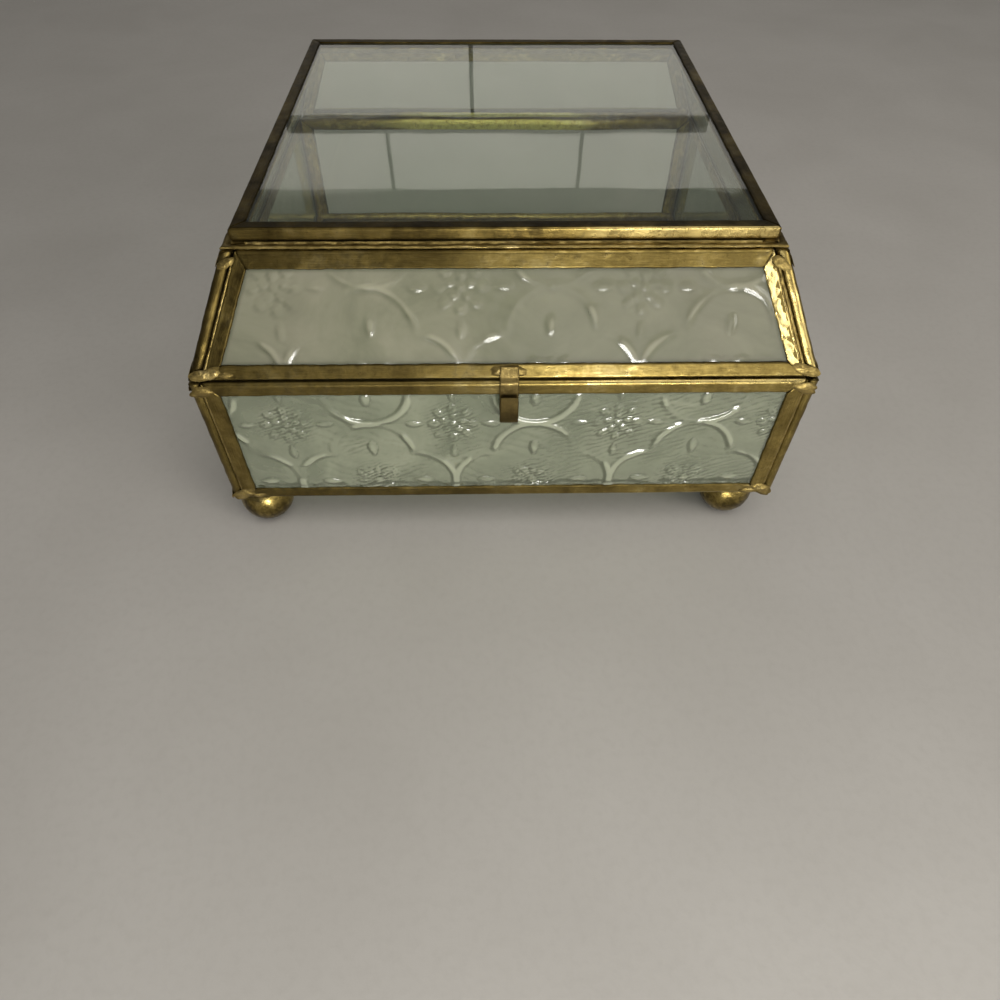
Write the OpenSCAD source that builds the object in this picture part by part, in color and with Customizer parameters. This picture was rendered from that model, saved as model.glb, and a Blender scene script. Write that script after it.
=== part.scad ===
// Glass casket box: a square base of four upright panes and a clear floor pane,
// and a hipped lid of four sloping panes and a clear top pane. Every pane is
// edged in folded brass came, the edges are soldered, the lid turns on a
// three-part tube hinge along the rear rim, and the box stands on four balls.
// Millimetres, +Z up, origin on the standing plane under the middle of the base.

/* [Box] */
// Width and depth of the square base, over the cames
box_w = 152; // [120:1:200]
// Height of the base walls
base_h = 41.4; // [34:0.2:80]
// Height of the lid above the rim
lid_h = 31.2; // [24:0.2:36]
// How far the top pane is set in from the rim on each side
lid_inset = 15; // [13:0.5:22]
// Gap between the shut lid and the rim
rim_gap = 0.6; // [0.4:0.1:0.8]
// How far the tops of the slopes stand out past the top pane's came
top_ledge = 2; // [1:0.1:2.4]
// Height of the solder line between the slopes and the top
seam = 0.9; // [0.6:0.1:1.2]

/* [Panes and cames] */
// Thickness of the brass came across the pane
came_t = 3.2; // [3:0.1:4]
// Width of the came's face
came_face = 3.9; // [3.4:0.1:5]
// Width of the came's face along the hips
hip_face = 3.3; // [3:0.1:5]
// Width of the came's face round the top pane
top_face = 3.2; // [3:0.1:5]
// Thickness of the glass
glass_t = 2.1; // [1.8:0.1:2.4]
// Leg of the solder fillets inside the box
solder_leg = 1.6; // [1:0.1:2]

/* [Feet] */
// Diameter of each ball foot
foot_d = 15.4; // [12:0.2:18]
// Diameter of the flats at the top and the bottom of a ball
foot_flat = 4.4; // [3:0.2:6]

/* [Hinge] */
// Outside diameter of the hinge tubes
tube_d = 4.2; // [3.8:0.1:4.4]
// Diameter of the hinge wire
wire_d = 1.6; // [1.2:0.1:1.8]
// Radial clearance between the wire and the tubes
wire_gap = 0.05; // [0.03:0.01:0.1]
// Length of the middle tube, which is the lid's
mid_tube = 86; // [60:1:90]
// Length of each end tube, which are the base's
end_tube = 21; // [12:1:24]

/* [Thumb tab] */
// Width of the thumb tab
tab_w = 4.6; // [4:0.2:8]
// Thickness of the tab's strip
tab_t = 0.8; // [0.6:0.1:1]

/* [Hidden] */
$fn = 64;
half = box_w / 2;
foot_r = foot_d / 2;
foot_zc = sqrt(foot_r * foot_r - foot_flat * foot_flat / 4);
base_z = 2 * foot_zc;                       // underside of the base
rim_z = base_z + base_h;                    // plane where base and lid meet
wall_h = lid_h - came_t;                    // height of the lid's slopes
slope = atan2(wall_h, lid_inset - top_ledge); // lid's slope from level
lean = cos(slope);
slant = (wall_h - seam) / sin(slope);       // length up the slope to the solder line
edge_in = (came_t - glass_t) / 2;           // brass on each side of the glass
// Where each ball was soldered on, by hand and not quite evenly
FEET = [[-70, -67.4], [66.8, -66.2], [-68.5, 68], [67.5, 68.5]];
axis_y = half + tube_d / 2 + 0.3;
axis_z = rim_z + rim_gap / 2;
brass = "#8d7433";
brass_dark = "#6f5a28";
pane_tint = [0.78, 0.88, 0.80, 0.45];
pane_clear = [0.86, 0.92, 0.88, 0.30];

// Side i of the box: 0 front, 1 right, 2 rear, 3 left. x runs along the side,
// y up it and z outwards, with the origin at the foot of its outer face.
module side(i, z0, lift) {
    rotate([0, 0, 90 * i]) translate([0, -half, z0]) rotate([lift, 0, 0]) children();
}

// Everything deeper than d behind the outer face of a lid slope
module behind(i, d) {
    side(i, rim_z, slope) translate([-200, -200, -400 - d]) cube([400, 400, 400]);
}

// The slab between two heights above the rim
module level(low, high) {
    translate([-200, -200, rim_z + low]) cube([400, 400, high - low]);
}

// One length of channel along x, its outer edge on y = 0, faces at z = 0 and -came_t
module strip(length, face, round_edge) {
    if (round_edge) {
        translate([-length / 2, came_t / 2, -came_t]) cube([length, face - came_t / 2, came_t]);
        translate([-length / 2, came_t / 2, -came_t / 2]) rotate([0, 90, 0]) cylinder(d = came_t, h = length);
    } else {
        translate([-length / 2, 0, -came_t]) cube([length, face, came_t]);
    }
}

// Four mitred lengths of came round an upright or level rectangular pane.
// An edge that butts against another came is left square.
module square_came(w, h, round_rails, round_ends, f = came_face) {
    x = w / 2;
    for (p = [
        [[[-x, 0], [x, 0], [x - f, f], [-x + f, f]], [0, 0], 0, w, round_rails],
        [[[-x, h], [-x + f, h - f], [x - f, h - f], [x, h]], [0, h], 180, w, round_rails],
        [[[-x, 0], [-x + f, f], [-x + f, h - f], [-x, h]], [-x, h / 2], -90, h, round_ends],
        [[[x, 0], [x, h], [x - f, h - f], [x - f, f]], [x, h / 2], 90, h, round_ends]
    ]) difference() {
        intersection() {
            translate([0, 0, -came_t - 1]) linear_extrude(came_t + 2) polygon(p[0]);
            translate([p[1][0], p[1][1], 0]) rotate([0, 0, p[2]]) strip(p[3] + 4, f, p[4]);
        }
        translate([0, 0, -came_t + edge_in]) linear_extrude(glass_t) square_pane_outline(w, h);
    }
}

module square_pane_outline(w, h) {
    translate([-w / 2 + 0.9, 0.9]) square([w - 1.8, h - 1.8]);
}

module square_pane(w, h) {
    translate([0, 0, -came_t + edge_in]) linear_extrude(glass_t) square_pane_outline(w, h);
}

// Outline of a lid slope whose half width is w0 at the rim: [x, y] at height y, inset by d
function lid_x(w0, y, d) = w0 - lean * y - d * sqrt(1 + lean * lean);
lid_low = came_face + 0.6;                  // top edge of the lowest came
lid_high = slant - came_face;               // lower edge of the highest came
lid_end = slant + 2.4;                      // past the level cut at the top

module lid_pane_outline(w0) {
    low = 2.5;
    high = slant - 0.9;
    polygon([[-lid_x(w0, low, 0.9), low], [lid_x(w0, low, 0.9), low],
             [lid_x(w0, high, 0.9), high], [-lid_x(w0, high, 0.9), high]]);
}

module lid_pane(w0) {
    translate([0, 0, -came_t + edge_in]) linear_extrude(glass_t) lid_pane_outline(w0);
}

// Four mitred lengths of came round a lid slope
module lid_came(w0) {
    a = lid_x(w0, 0, 0);
    b = lid_x(w0, lid_low, hip_face);
    c = lid_x(w0, lid_high, hip_face);
    d = lid_x(w0, lid_end, 0);
    for (p = [
        [[-a, 0], [a, 0], [b, lid_low], [-b, lid_low]],
        [[-d, lid_end], [-c, lid_high], [c, lid_high], [d, lid_end]],
        [[-a, 0], [-b, lid_low], [-c, lid_high], [-d, lid_end]],
        [[a, 0], [d, lid_end], [c, lid_high], [b, lid_low]]
    ]) difference() {
        translate([0, 0, -came_t]) linear_extrude(came_t) polygon(p);
        translate([0, 0, -came_t + edge_in]) linear_extrude(glass_t) lid_pane_outline(w0);
    }
}

// Half widths at the rim of the slopes that run past, and of those between them
past = half;
between = half - came_t / sin(slope);
top_w = box_w - 2 * lid_inset;
inner_w = box_w - 2 * came_t;

module lid_side_came(i, w0) {
    color(brass) intersection() {
        side(i, rim_z, slope) lid_came(w0);
        level(rim_gap, wall_h - seam);
    }
}

module lid_side_glass(i, w0) {
    color(pane_tint) side(i, rim_z, slope) lid_pane(w0);
}

// Ball foot with a flat to stand on and a flat to solder
module foot(n) {
    color(brass) intersection() {
        translate([FEET[n][0], FEET[n][1], foot_zc]) sphere(r = foot_r);
        translate([FEET[n][0] - 20, FEET[n][1] - 20, 0]) cube([40, 40, base_z]);
    }
}

module base_corner_solder() {
    color(brass_dark) for (sx = [-1, 1], sy = [-1, 1])
        translate([sx * (inner_w / 2 - solder_leg / 2) - solder_leg / 2,
                   sy * (inner_w / 2 - solder_leg / 2) - solder_leg / 2, base_z + came_t + solder_leg])
            cube([solder_leg, solder_leg, base_h - came_t - solder_leg - 2]);
}

module base_bottom_solder() {
    color(brass_dark) translate([0, 0, base_z + came_t]) difference() {
        translate([-inner_w / 2, -inner_w / 2, 0]) cube([inner_w, inner_w, solder_leg]);
        translate([-inner_w / 2 + solder_leg, -inner_w / 2 + solder_leg, -1])
            cube([inner_w - 2 * solder_leg, inner_w - 2 * solder_leg, solder_leg + 2]);
    }
}

module foot_solder() {
    color(brass_dark) for (p = FEET) difference() {
        translate([p[0], p[1], base_z - 1.25]) cylinder(r = 4.6, h = 1.25);
        translate([p[0], p[1], foot_zc]) sphere(r = foot_r);
    }
}

// The fillet's depth behind the inner face of a lid slope
module fillet(i) {
    side(i, rim_z, slope) translate([-200, -200, -came_t - solder_leg]) cube([400, 400, solder_leg]);
}

// Bars along the inside of the four hips
module lid_hip_solder() {
    color(brass_dark) for (i = [0 : 3]) intersection() {
        level(4, wall_h - seam - solder_leg);
        fillet(i);
        fillet((i + 1) % 4);
    }
}

// Everything behind all four slopes by more than d
module within(d) {
    intersection() {
        behind(0, d);
        behind(1, d);
        behind(2, d);
        behind(3, d);
    }
}

// The line of solder that the top pane's came sits on, with a fillet inside
module lid_top_solder() {
    color(brass_dark) union() {
        intersection() {
            level(wall_h - seam, wall_h);
            difference() {
                within(0.3);
                within(came_t + solder_leg);
            }
        }
        intersection() {
            level(wall_h - seam - solder_leg, wall_h - seam);
            difference() {
                within(came_t);
                within(came_t + solder_leg);
            }
        }
    }
}

// Length of hinge tube along x, centred on x = c
module tube(c, length) {
    translate([c - length / 2, axis_y, axis_z]) rotate([0, 90, 0]) difference() {
        cylinder(d = tube_d, h = length);
        translate([0, 0, -1]) cylinder(r = wire_d / 2 + wire_gap, h = length + 2);
    }
}
end_c = mid_tube / 2 + 0.4 + end_tube / 2;
pin_half = mid_tube / 2 + 0.4 + end_tube;

module hinge_pin() {
    color(brass_dark) translate([0, axis_y, axis_z]) rotate([0, 90, 0]) {
        translate([0, 0, -pin_half - 0.8]) cylinder(d = wire_d, h = 2 * pin_half + 1.6);
        for (z = [-pin_half - 0.8, pin_half]) translate([0, 0, z]) cylinder(d = 3, h = 0.8);
    }
}

// Solder between the end tubes and the rear wall
module hinge_base_solder() {
    color(brass_dark) for (s = [-1, 1]) difference() {
        translate([s * end_c - (end_tube - 1) / 2, half, rim_z - 3.2]) cube([end_tube - 1, tube_d / 2, 2.6]);
        translate([s * end_c - end_tube, axis_y, axis_z]) rotate([0, 90, 0]) cylinder(d = tube_d, h = 2 * end_tube);
        translate([s * end_c - end_tube, half + 0.7, rim_z - 3.4]) rotate([45, 0, 0]) translate([0, 0, -3]) cube([2 * end_tube, 6, 3]);
    }
}

// Solder between the middle tube and the lid's rear slope
module hinge_lid_solder() {
    color(brass_dark) difference() {
        translate([-(mid_tube - 2) / 2, half - 3, rim_z + 0.9]) cube([mid_tube - 2, axis_y - half + 2.4, 2.2]);
        behind(2, 0);
        translate([-mid_tube, axis_y, axis_z]) rotate([0, 90, 0]) cylinder(d = tube_d, h = 2 * mid_tube);
    }
}

// Centre line of the thumb tab in y and z, from the lid's slope over the rim and
// down in front of the base, then folded forwards and back up
FOLD = [for (a = [0 : -20 : -180]) [-half - 1.8 + 1.1 * cos(a), -9.4 + 1.1 * sin(a)]];
TAB = concat(
    [for (v = [3.9, 2.3, 1.0]) [-half + v * lean - (tab_t / 2 + 0.02) * sin(slope), v * sin(slope) + (tab_t / 2 + 0.02) * lean]],
    [[-half - 0.62, 0.3], [-half - 0.7, -0.8], [-half - 0.7, -3.4], [-half - 0.7, -6.8]],
    FOLD,
    [[-half - 3.1, -7.9], [-half - 3.15, -6.5], [-half - 2.95, -5.1], [-half - 2.55, -3.9], [-half - 2.1, -3]]
);
function ahead(p, i) = let (a = p[max(i - 1, 0)], b = p[min(i + 1, len(p) - 1)], d = b - a) d / norm(d);
function edge(p, s) = [for (i = [0 : len(p) - 1]) let (d = ahead(p, i)) p[i] + s * [-d[1], d[0]]];
module tab_shape(extra) {
    left = edge(TAB, tab_t / 2 + extra);
    right = edge(TAB, -tab_t / 2 - extra);
    translate([0.7 - tab_w / 2 - extra, 0, rim_z]) rotate([90, 0, 90]) linear_extrude(tab_w + 2 * extra)
        polygon(concat(left, [for (i = [len(right) - 1 : -1 : 0]) right[i]]));
}

// Drop of solder that holds the tab on the lid's came
module lid_tab_solder() {
    color(brass) difference() {
        side(0, rim_z, slope) translate([0.9, 2.9, -3.0]) sphere(r = 5);
        behind(0, 0);
        tab_shape(0);
        translate([-20, -half - 30, rim_z - 20]) cube([40, 60, 20.6]);
    }
}

color(pane_tint) side(0, base_z, 90) square_pane(inner_w, base_h);  // base_front_glass
color(pane_clear) side(2, base_z, 90) square_pane(inner_w, base_h);  // base_rear_glass
color(pane_tint) side(3, base_z, 90) square_pane(box_w, base_h);  // base_left_glass
color(pane_tint) side(1, base_z, 90) square_pane(box_w, base_h);  // base_right_glass
color(pane_clear) translate([0, -inner_w / 2, base_z + came_t]) square_pane(inner_w, inner_w);  // base_bottom_glass
color(brass) side(0, base_z, 90) square_came(inner_w, base_h, true, false);  // base_front_came
color(brass) side(2, base_z, 90) square_came(inner_w, base_h, true, false);  // base_rear_came
color(brass) side(3, base_z, 90) square_came(box_w, base_h, true, true);  // base_left_came
color(brass) side(1, base_z, 90) square_came(box_w, base_h, true, true);  // base_right_came
color(brass) translate([0, -inner_w / 2, base_z + came_t]) square_came(inner_w, inner_w, false, false);  // base_bottom_came
base_corner_solder();
base_bottom_solder();
foot(0);  // foot_front_left
foot(1);  // foot_front_right
foot(2);  // foot_rear_left
foot(3);  // foot_rear_right
foot_solder();
color(brass) for (s = [-1, 1]) tube(s * end_c, end_tube);  // hinge_base_tubes
hinge_base_solder();
hinge_pin();
lid_side_glass(0, between);  // lid_front_glass
lid_side_glass(2, between);  // lid_rear_glass
lid_side_glass(3, past);  // lid_left_glass
lid_side_glass(1, past);  // lid_right_glass
color(pane_clear) translate([0, -top_w / 2, rim_z + lid_h]) square_pane(top_w, top_w);  // lid_top_glass
lid_side_came(0, between);  // lid_front_came
lid_side_came(2, between);  // lid_rear_came
lid_side_came(3, past);  // lid_left_came
lid_side_came(1, past);  // lid_right_came
color(brass) translate([0, -top_w / 2, rim_z + lid_h]) square_came(top_w, top_w, false, false, top_face);  // lid_top_came
lid_hip_solder();
lid_top_solder();
color(brass) tube(0, mid_tube);  // hinge_lid_tube
hinge_lid_solder();
color(brass) tab_shape(0);  // lid_tab
lid_tab_solder();
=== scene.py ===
import math

import bpy
import numpy as np
from mathutils import Matrix, Vector

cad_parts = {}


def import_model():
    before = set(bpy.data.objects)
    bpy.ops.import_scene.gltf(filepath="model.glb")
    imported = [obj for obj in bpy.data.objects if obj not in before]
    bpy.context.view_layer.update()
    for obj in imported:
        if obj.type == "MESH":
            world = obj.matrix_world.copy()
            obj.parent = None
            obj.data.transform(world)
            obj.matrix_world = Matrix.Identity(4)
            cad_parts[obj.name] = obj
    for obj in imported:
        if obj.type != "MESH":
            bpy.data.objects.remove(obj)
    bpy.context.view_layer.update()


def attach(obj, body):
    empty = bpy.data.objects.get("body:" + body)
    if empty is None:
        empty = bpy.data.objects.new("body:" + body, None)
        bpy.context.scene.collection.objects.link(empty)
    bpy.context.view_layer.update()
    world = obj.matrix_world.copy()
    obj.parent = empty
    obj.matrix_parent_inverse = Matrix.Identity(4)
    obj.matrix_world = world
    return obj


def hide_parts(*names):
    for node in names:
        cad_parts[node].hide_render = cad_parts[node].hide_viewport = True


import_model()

# ---------------------------------------------------------------- sizes, in mm, as in the CAD
HALF = 76.0
BASE_H = 41.4
LID_H = 31.2
INSET = 15.0
LEDGE = 2.0
SEAM = 0.9
RIM_GAP = 0.6
CAME_T = 3.2
FACE = 3.9
HIP_FACE = 3.3
TOP_FACE = 3.2
GLASS_T = 2.1
EDGE_IN = (CAME_T - GLASS_T) / 2
FOOT_R = 7.7
FOOT_ZC = math.sqrt(FOOT_R ** 2 - 2.2 ** 2)
BASE_Z = 2 * FOOT_ZC
RIM_Z = BASE_Z + BASE_H
WALL_H = LID_H - CAME_T
SLOPE = math.degrees(math.atan2(WALL_H, INSET - LEDGE))
SIN, LEAN = math.sin(math.radians(SLOPE)), math.cos(math.radians(SLOPE))
SLANT = (WALL_H - SEAM) / SIN
INNER_W = 2 * (HALF - CAME_T)
TOP_W = 2 * (HALF - INSET)
PAST = HALF
BETWEEN = HALF - CAME_T / SIN
AXIS_Y = HALF + 2.1 + 0.3
AXIS_Z = RIM_Z + RIM_GAP / 2
FEET = {
    "front_left": (-70.0, -67.4),
    "front_right": (66.8, -66.2),
    "rear_left": (-68.5, 68.0),
    "rear_right": (67.5, 68.5),
}

# ---------------------------------------------------------------- noise, the same on every run
_TAB = np.random.RandomState(11).rand(4096) * 2 - 1


def _hash(ix, iy, iz, seed):
    h = (ix * 73856093) ^ (iy * 19349663) ^ (iz * 83492791) ^ (seed * 97531 + 17)
    h = ((h ^ (h >> 13)) * 1274126177) & 0x7FFFFFFF
    return _TAB[(h ^ (h >> 15)) & 4095]


def noise(x, y, z=0.0, seed=0):
    """Smooth value noise from -1 to 1 at points with unit-sized cells."""
    x, y, z = np.broadcast_arrays(
        np.asarray(x, float), np.asarray(y, float), np.asarray(z, float)
    )
    ix, iy, iz = (np.floor(v).astype(np.int64) for v in (x, y, z))
    fx, fy, fz = x - ix, y - iy, z - iz
    u, v, w = (t * t * t * (t * (t * 6 - 15) + 10) for t in (fx, fy, fz))
    out = 0
    for dx, wx in ((0, 1 - u), (1, u)):
        for dy, wy in ((0, 1 - v), (1, v)):
            for dz, wz in ((0, 1 - w), (1, w)):
                out = out + wx * wy * wz * _hash(ix + dx, iy + dy, iz + dz, seed)
    return out


def fbm(x, y, z=0.0, seed=0, octaves=3):
    total, amp, norm = 0, 1.0, 0.0
    for k in range(octaves):
        s = 2.03 ** k
        total = total + amp * noise(x * s, y * s, np.asarray(z) * s, seed + 31 * k)
        norm += amp
        amp *= 0.5
    return total / norm


def smooth(a, b, x):
    t = np.clip((np.asarray(x, float) - a) / (b - a), 0, 1)
    return t * t * (3 - 2 * t)


# ---------------------------------------------------------------- local frames
def side(i, z0, lift):
    """Side i of the box: 0 front, 1 right, 2 rear, 3 left. x along it, y up the pane, z outwards."""
    a, l = math.radians(90 * i), math.radians(lift)
    ca, sa, cl, sl = math.cos(a), math.sin(a), math.cos(l), math.sin(l)

    def to_world(p):
        x, y, z = p[..., 0], p[..., 1], p[..., 2]
        y1 = y * cl - z * sl - HALF
        z1 = y * sl + z * cl + z0
        return np.stack([x * ca - y1 * sa, x * sa + y1 * ca, z1], -1)

    return to_world


def level(y0, z0):
    def to_world(p):
        return np.stack([p[..., 0], p[..., 1] + y0, p[..., 2] + z0], -1)

    return to_world


def world(p):
    return p


# ---------------------------------------------------------------- meshes
def normals_of(grid, wrap):
    """Unit normals of a grid [rows, columns, 3]; columns wrap round if wrap."""
    du = np.gradient(grid, axis=0)
    if wrap:
        dv = (np.roll(grid, -1, 1) - np.roll(grid, 1, 1)) / 2
    else:
        dv = np.gradient(grid, axis=1)
    n = np.cross(du, dv)
    return n / np.maximum(np.linalg.norm(n, axis=-1, keepdims=True), 1e-12)


class Shell:
    """Vertices in mm, faces and per-vertex values, gathered piece by piece into one mesh."""

    def __init__(self):
        self.verts, self.faces, self.grain, self.grime, self.count = [], [], [], [], 0

    def add(self, points, faces, grain=None, grime=None):
        n = len(points)
        base = self.count
        self.verts.append(points)
        self.faces += [[base + k for k in f] for f in faces] if not isinstance(
            faces, np.ndarray
        ) else (faces + base).tolist()
        self.grain.append(np.zeros((n, 3)) if grain is None else grain)
        self.grime.append(np.zeros(n) if grime is None else grime)
        self.count += n

    def tube(self, grid, wrap_rows=False, grain=None, grime=None, caps=True):
        """A grid [rows, columns, 3] whose columns wrap round; the rows wrap too, or end in caps."""
        r, c, _ = grid.shape
        idx = np.arange(r * c).reshape(r, c)
        nxt = np.roll(idx, -1, 1)
        if wrap_rows:
            a, b, cc, d = idx, nxt, np.roll(nxt, -1, 0), np.roll(idx, -1, 0)
        else:
            a, b, cc, d = idx[:-1], nxt[:-1], nxt[1:], idx[1:]
        quads = np.stack([a, b, cc, d], -1).reshape(-1, 4)
        faces = quads.tolist()
        if not wrap_rows and caps:
            faces += [idx[0][::-1].tolist(), idx[-1].tolist()]
        self.add(
            grid.reshape(-1, 3),
            faces,
            None if grain is None else grain.reshape(-1, 3),
            None if grime is None else grime.reshape(-1),
        )

    def object(self, name, material, body, replaces, sharp=38.0, flip=None):
        v = np.concatenate(self.verts) / 1000.0
        me = bpy.data.meshes.new(name)
        me.from_pydata(v.tolist(), [], self.faces)
        at = me.attributes.new("grain", "FLOAT_VECTOR", "POINT")
        at.data.foreach_set("vector", np.concatenate(self.grain).astype(np.float32).ravel())
        # grime: real grime and tarnish, plus painted shade (above 0) and painted highlight (below 0)
        at = me.attributes.new("grime", "FLOAT", "POINT")
        at.data.foreach_set("value", np.concatenate(self.grime).astype(np.float32).ravel())
        me.validate()
        me.update()
        outward(me)
        me.polygons.foreach_set("use_smooth", np.ones(len(me.polygons), bool))
        me.set_sharp_from_angle(angle=math.radians(sharp))
        me.materials.append(material)
        ob = bpy.data.objects.new(name, me)
        bpy.context.scene.collection.objects.link(ob)
        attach(ob, body)
        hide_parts(*replaces)
        return ob


def outward(me):
    """Turns every closed shell of a mesh so that its normals point outwards."""
    import bmesh

    bm = bmesh.new()
    bm.from_mesh(me)
    bmesh.ops.recalc_face_normals(bm, faces=bm.faces)
    bm.to_mesh(me)
    bm.free()
    me.update()


# ---------------------------------------------------------------- came: folded brass channel
def came_section(e, lip):
    """The channel's outline as rows of (distance in from the outer edge, depth, is outside, is lip).
    e is the radius of the folded outer edge."""
    rows = []
    round_edge = e > CAME_T / 2 - 0.01
    n_face = 8 if round_edge else 12
    rows.append((lip, -0.50, 0.4, 1.0))
    rows.append((lip - 0.02, -0.24, 1, 1.0))
    rows.append((lip - 0.10, -0.08, 1, 0.9))
    rows.append((lip - 0.26, 0.0, 1, 0.7))
    for k in range(1, n_face):
        d = lip - 0.26 - (lip - 0.26 - e) * k / n_face
        rows.append((d, 0.0, 1, max(0.0, 1 - (lip - d) / 0.8) * 0.7))
    if round_edge:
        for k in range(0, 13):
            a = math.pi * k / 12
            rows.append((e - e * math.sin(a), -e + e * math.cos(a), 1, 0))
    else:
        m = 4 if e < 0.8 else 7
        for k in range(0, m + 1):
            a = math.pi / 2 * k / m
            rows.append((e - e * math.sin(a), -e + e * math.cos(a), 1, 0))
        for k in range(1, 5):
            rows.append((0.0, -e - (CAME_T - 2 * e) * k / 5, 1, 0))
        for k in range(0, m + 1):
            a = math.pi / 2 * k / m
            rows.append((e - e * math.cos(a), -CAME_T + e - e * math.sin(a), 1, 0))
    for k in range(1, n_face):
        d = e + (lip - 0.26 - e) * k / n_face
        rows.append((d, -CAME_T, 1, max(0.0, 1 - (lip - d) / 0.8) * 0.7))
    rows.append((lip - 0.26, -CAME_T, 1, 0.7))
    rows.append((lip - 0.10, -CAME_T + 0.08, 1, 0.9))
    rows.append((lip - 0.02, -CAME_T + 0.24, 1, 1.0))
    rows.append((lip, -CAME_T + 0.50, 0.4, 1.0))
    rows.append((0.8, -CAME_T + 0.50, 0, 1.0))
    rows.append((0.8, -0.50, 0, 1.0))
    return np.array(rows)


def came_frame(shell, to_world, outer, inner, rounds, seed, step=0.7, wave=1.0, swell=(0, 0, 0, 0), extra=None, faces=(FACE,) * 4, face_shade=0.0, polish=None):
    """Four mitred lengths. outer(k, depth) gives corner k of the outer edge, inner[k] of the opening.
    rounds and faces are each length's edge radius and face width; face_shade darkens the flat faces with painted shade,
    and polish gives each length painted highlight (above 0) or painted shade (below 0)."""
    for k in range(4):
        sec = came_section(rounds[k], faces[k])
        d, zl, out, lip = sec.T
        u = (d / faces[k])[None, :, None]
        m = (k + 1) % 4
        a0, b0 = outer(k, zl)[None], outer(m, zl)[None]
        a1, b1 = np.array(inner[k], float), np.array(inner[m], float)
        a = a0 + (a1 - a0) * u
        b = b0 + (b1 - b0) * u
        length = float(np.linalg.norm(b0[0, 0] - a0[0, 0]))
        ends = np.array([0, 0.10, 0.28, 0.55, 0.95]) / length
        mid = np.linspace(ends[-1], 1 - ends[-1], max(4, int(length / step)))
        t = np.concatenate([ends[:-1], mid, 1 - ends[:-1][::-1]])
        xy = a + (b - a) * t[:, None, None]
        grid = np.concatenate([xy, np.broadcast_to(zl[None, :, None], xy.shape[:2] + (1,))], -1)
        along = (t * length)[:, None] + 0 * zl[None]
        far = np.minimum(along, length - along)
        # the lips wander a little, as hand-cut brass does
        to_open = (a1 + (b1 - a1) * 0.5) - (a0[0, 0] + (b0[0, 0] - a0[0, 0]) * 0.5)
        to_open = to_open / np.linalg.norm(to_open)
        wander = 0.15 * fbm(along / 6.0, seed * 3.1 + k, zl[None] * 0.15, seed + k, 3) + 0.06 * noise(
            along / 1.3, seed * 1.7 + k, zl[None] * 0.4, seed + k + 40
        )
        shift = (lip * (out > 0.2))[None] * np.clip(wander, -0.2, 0.16) * smooth(0.2, 2.0, far)
        grid[..., :2] += shift[..., None] * to_open
        n = normals_of(grid, True)
        face_col = 6
        if np.mean(n[:, face_col, 2]) < 0:
            n = -n
        p = grid
        s = seed * 7.3 + k * 2.1
        long_wave = 0.5 - 0.5 * fbm(along / 14.0, s, zl[None] * 0.1, seed + 5, 2)
        dents = 0.5 - 0.5 * fbm(p[..., 0] / 3.4 + s, p[..., 1] / 3.4, p[..., 2] / 3.4, seed + 9, 3)
        fine = np.maximum(0, fbm(p[..., 0] / 0.9 + s, p[..., 1] / 0.9, p[..., 2] / 0.9, seed + 13, 2))
        push = -(0.085 * long_wave + 0.085 * dents * wave + 0.03 * fine * wave)
        push = push - 0.13 * np.exp(-((far / 0.22) ** 2))
        lumps = (swell[k], swell[m])
        for amount, dist in ((lumps[0], along), (lumps[1], length - along)):
            if amount:
                rough = 0.6 + 0.6 * fbm(p[..., 0] / 1.6 + s, p[..., 1] / 1.6, p[..., 2] / 1.6, seed + 21, 2)
                push = push + amount * rough * np.exp(-((dist / 3.1) ** 2)) * smooth(0.0, 0.35, dist)
        if extra is not None:
            push = push + extra(k, along, length, d[None] + 0 * along, zl[None] + 0 * along)
        grid = grid + n * (push * np.clip(out, 0, 1)[None])[..., None]
        # darker at the lip beside the glass (painted shade), at the mitres (dark joints) and in patches (tarnish)
        grime = lip[None] * 0.85 + 0.9 * np.exp(-((far / 0.3) ** 2)) + 0.25 * smooth(0.1, 0.5, fbm(p[..., 0] / 5.0 + s, p[..., 1] / 5.0, p[..., 2] / 5.0, seed + 33, 2))
        # face_shade: painted shade on the flat faces
        grime = grime + face_shade * smooth(0.15, 0.9, d)[None]
        # polish: painted highlight (above 0) or painted shade (below 0) along each length
        if polish is not None:
            wear_and_sheen = polish(k, along, length, d[None] + 0 * along, zl[None] + 0 * along)
            grime = np.clip(grime, 0, 1) * (1 - np.abs(wear_and_sheen)) - wear_and_sheen
        around = np.cumsum(np.concatenate([[0], np.hypot(np.diff(d), np.diff(zl))]))[None] + 0 * along
        grain = np.stack([along + 37 * k, around, np.full_like(along, seed + 0.37 * k)], -1)
        shell.tube(to_world(grid), grain=grain, grime=np.clip(grime, -1, 1))


def square_outer(w, h, f=FACE):
    pts = [(-w / 2, 0.0), (w / 2, 0.0), (w / 2, h), (-w / 2, h)]

    def outer(k, zl):
        return np.broadcast_to(np.array(pts[k], float), (len(zl), 2)).copy()

    inner = [(-w / 2 + f, f), (w / 2 - f, f), (w / 2 - f, h - f), (-w / 2 + f, h - f)]
    return outer, inner


def lid_x(w0, y, d):
    return w0 - LEAN * y - d * math.sqrt(1 + LEAN * LEAN)


LID_LOW = FACE + 0.6
LID_HIGH = SLANT - FACE


def lid_outer(w0):
    def outer(k, zl):
        if k in (0, 1):
            y = (RIM_GAP - zl * LEAN) / SIN
        else:
            y = (WALL_H - SEAM - zl * LEAN) / SIN
        x = w0 - LEAN * y
        return np.stack([x if k in (1, 2) else -x, y], -1)

    b, c = lid_x(w0, LID_LOW, HIP_FACE), lid_x(w0, LID_HIGH, HIP_FACE)
    inner = [(-b, LID_LOW), (b, LID_LOW), (c, LID_HIGH), (-c, LID_HIGH)]
    return outer, inner


# ---------------------------------------------------------------- figured glass
PITCH = 42.0
LOBE = PITCH / 4


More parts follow.
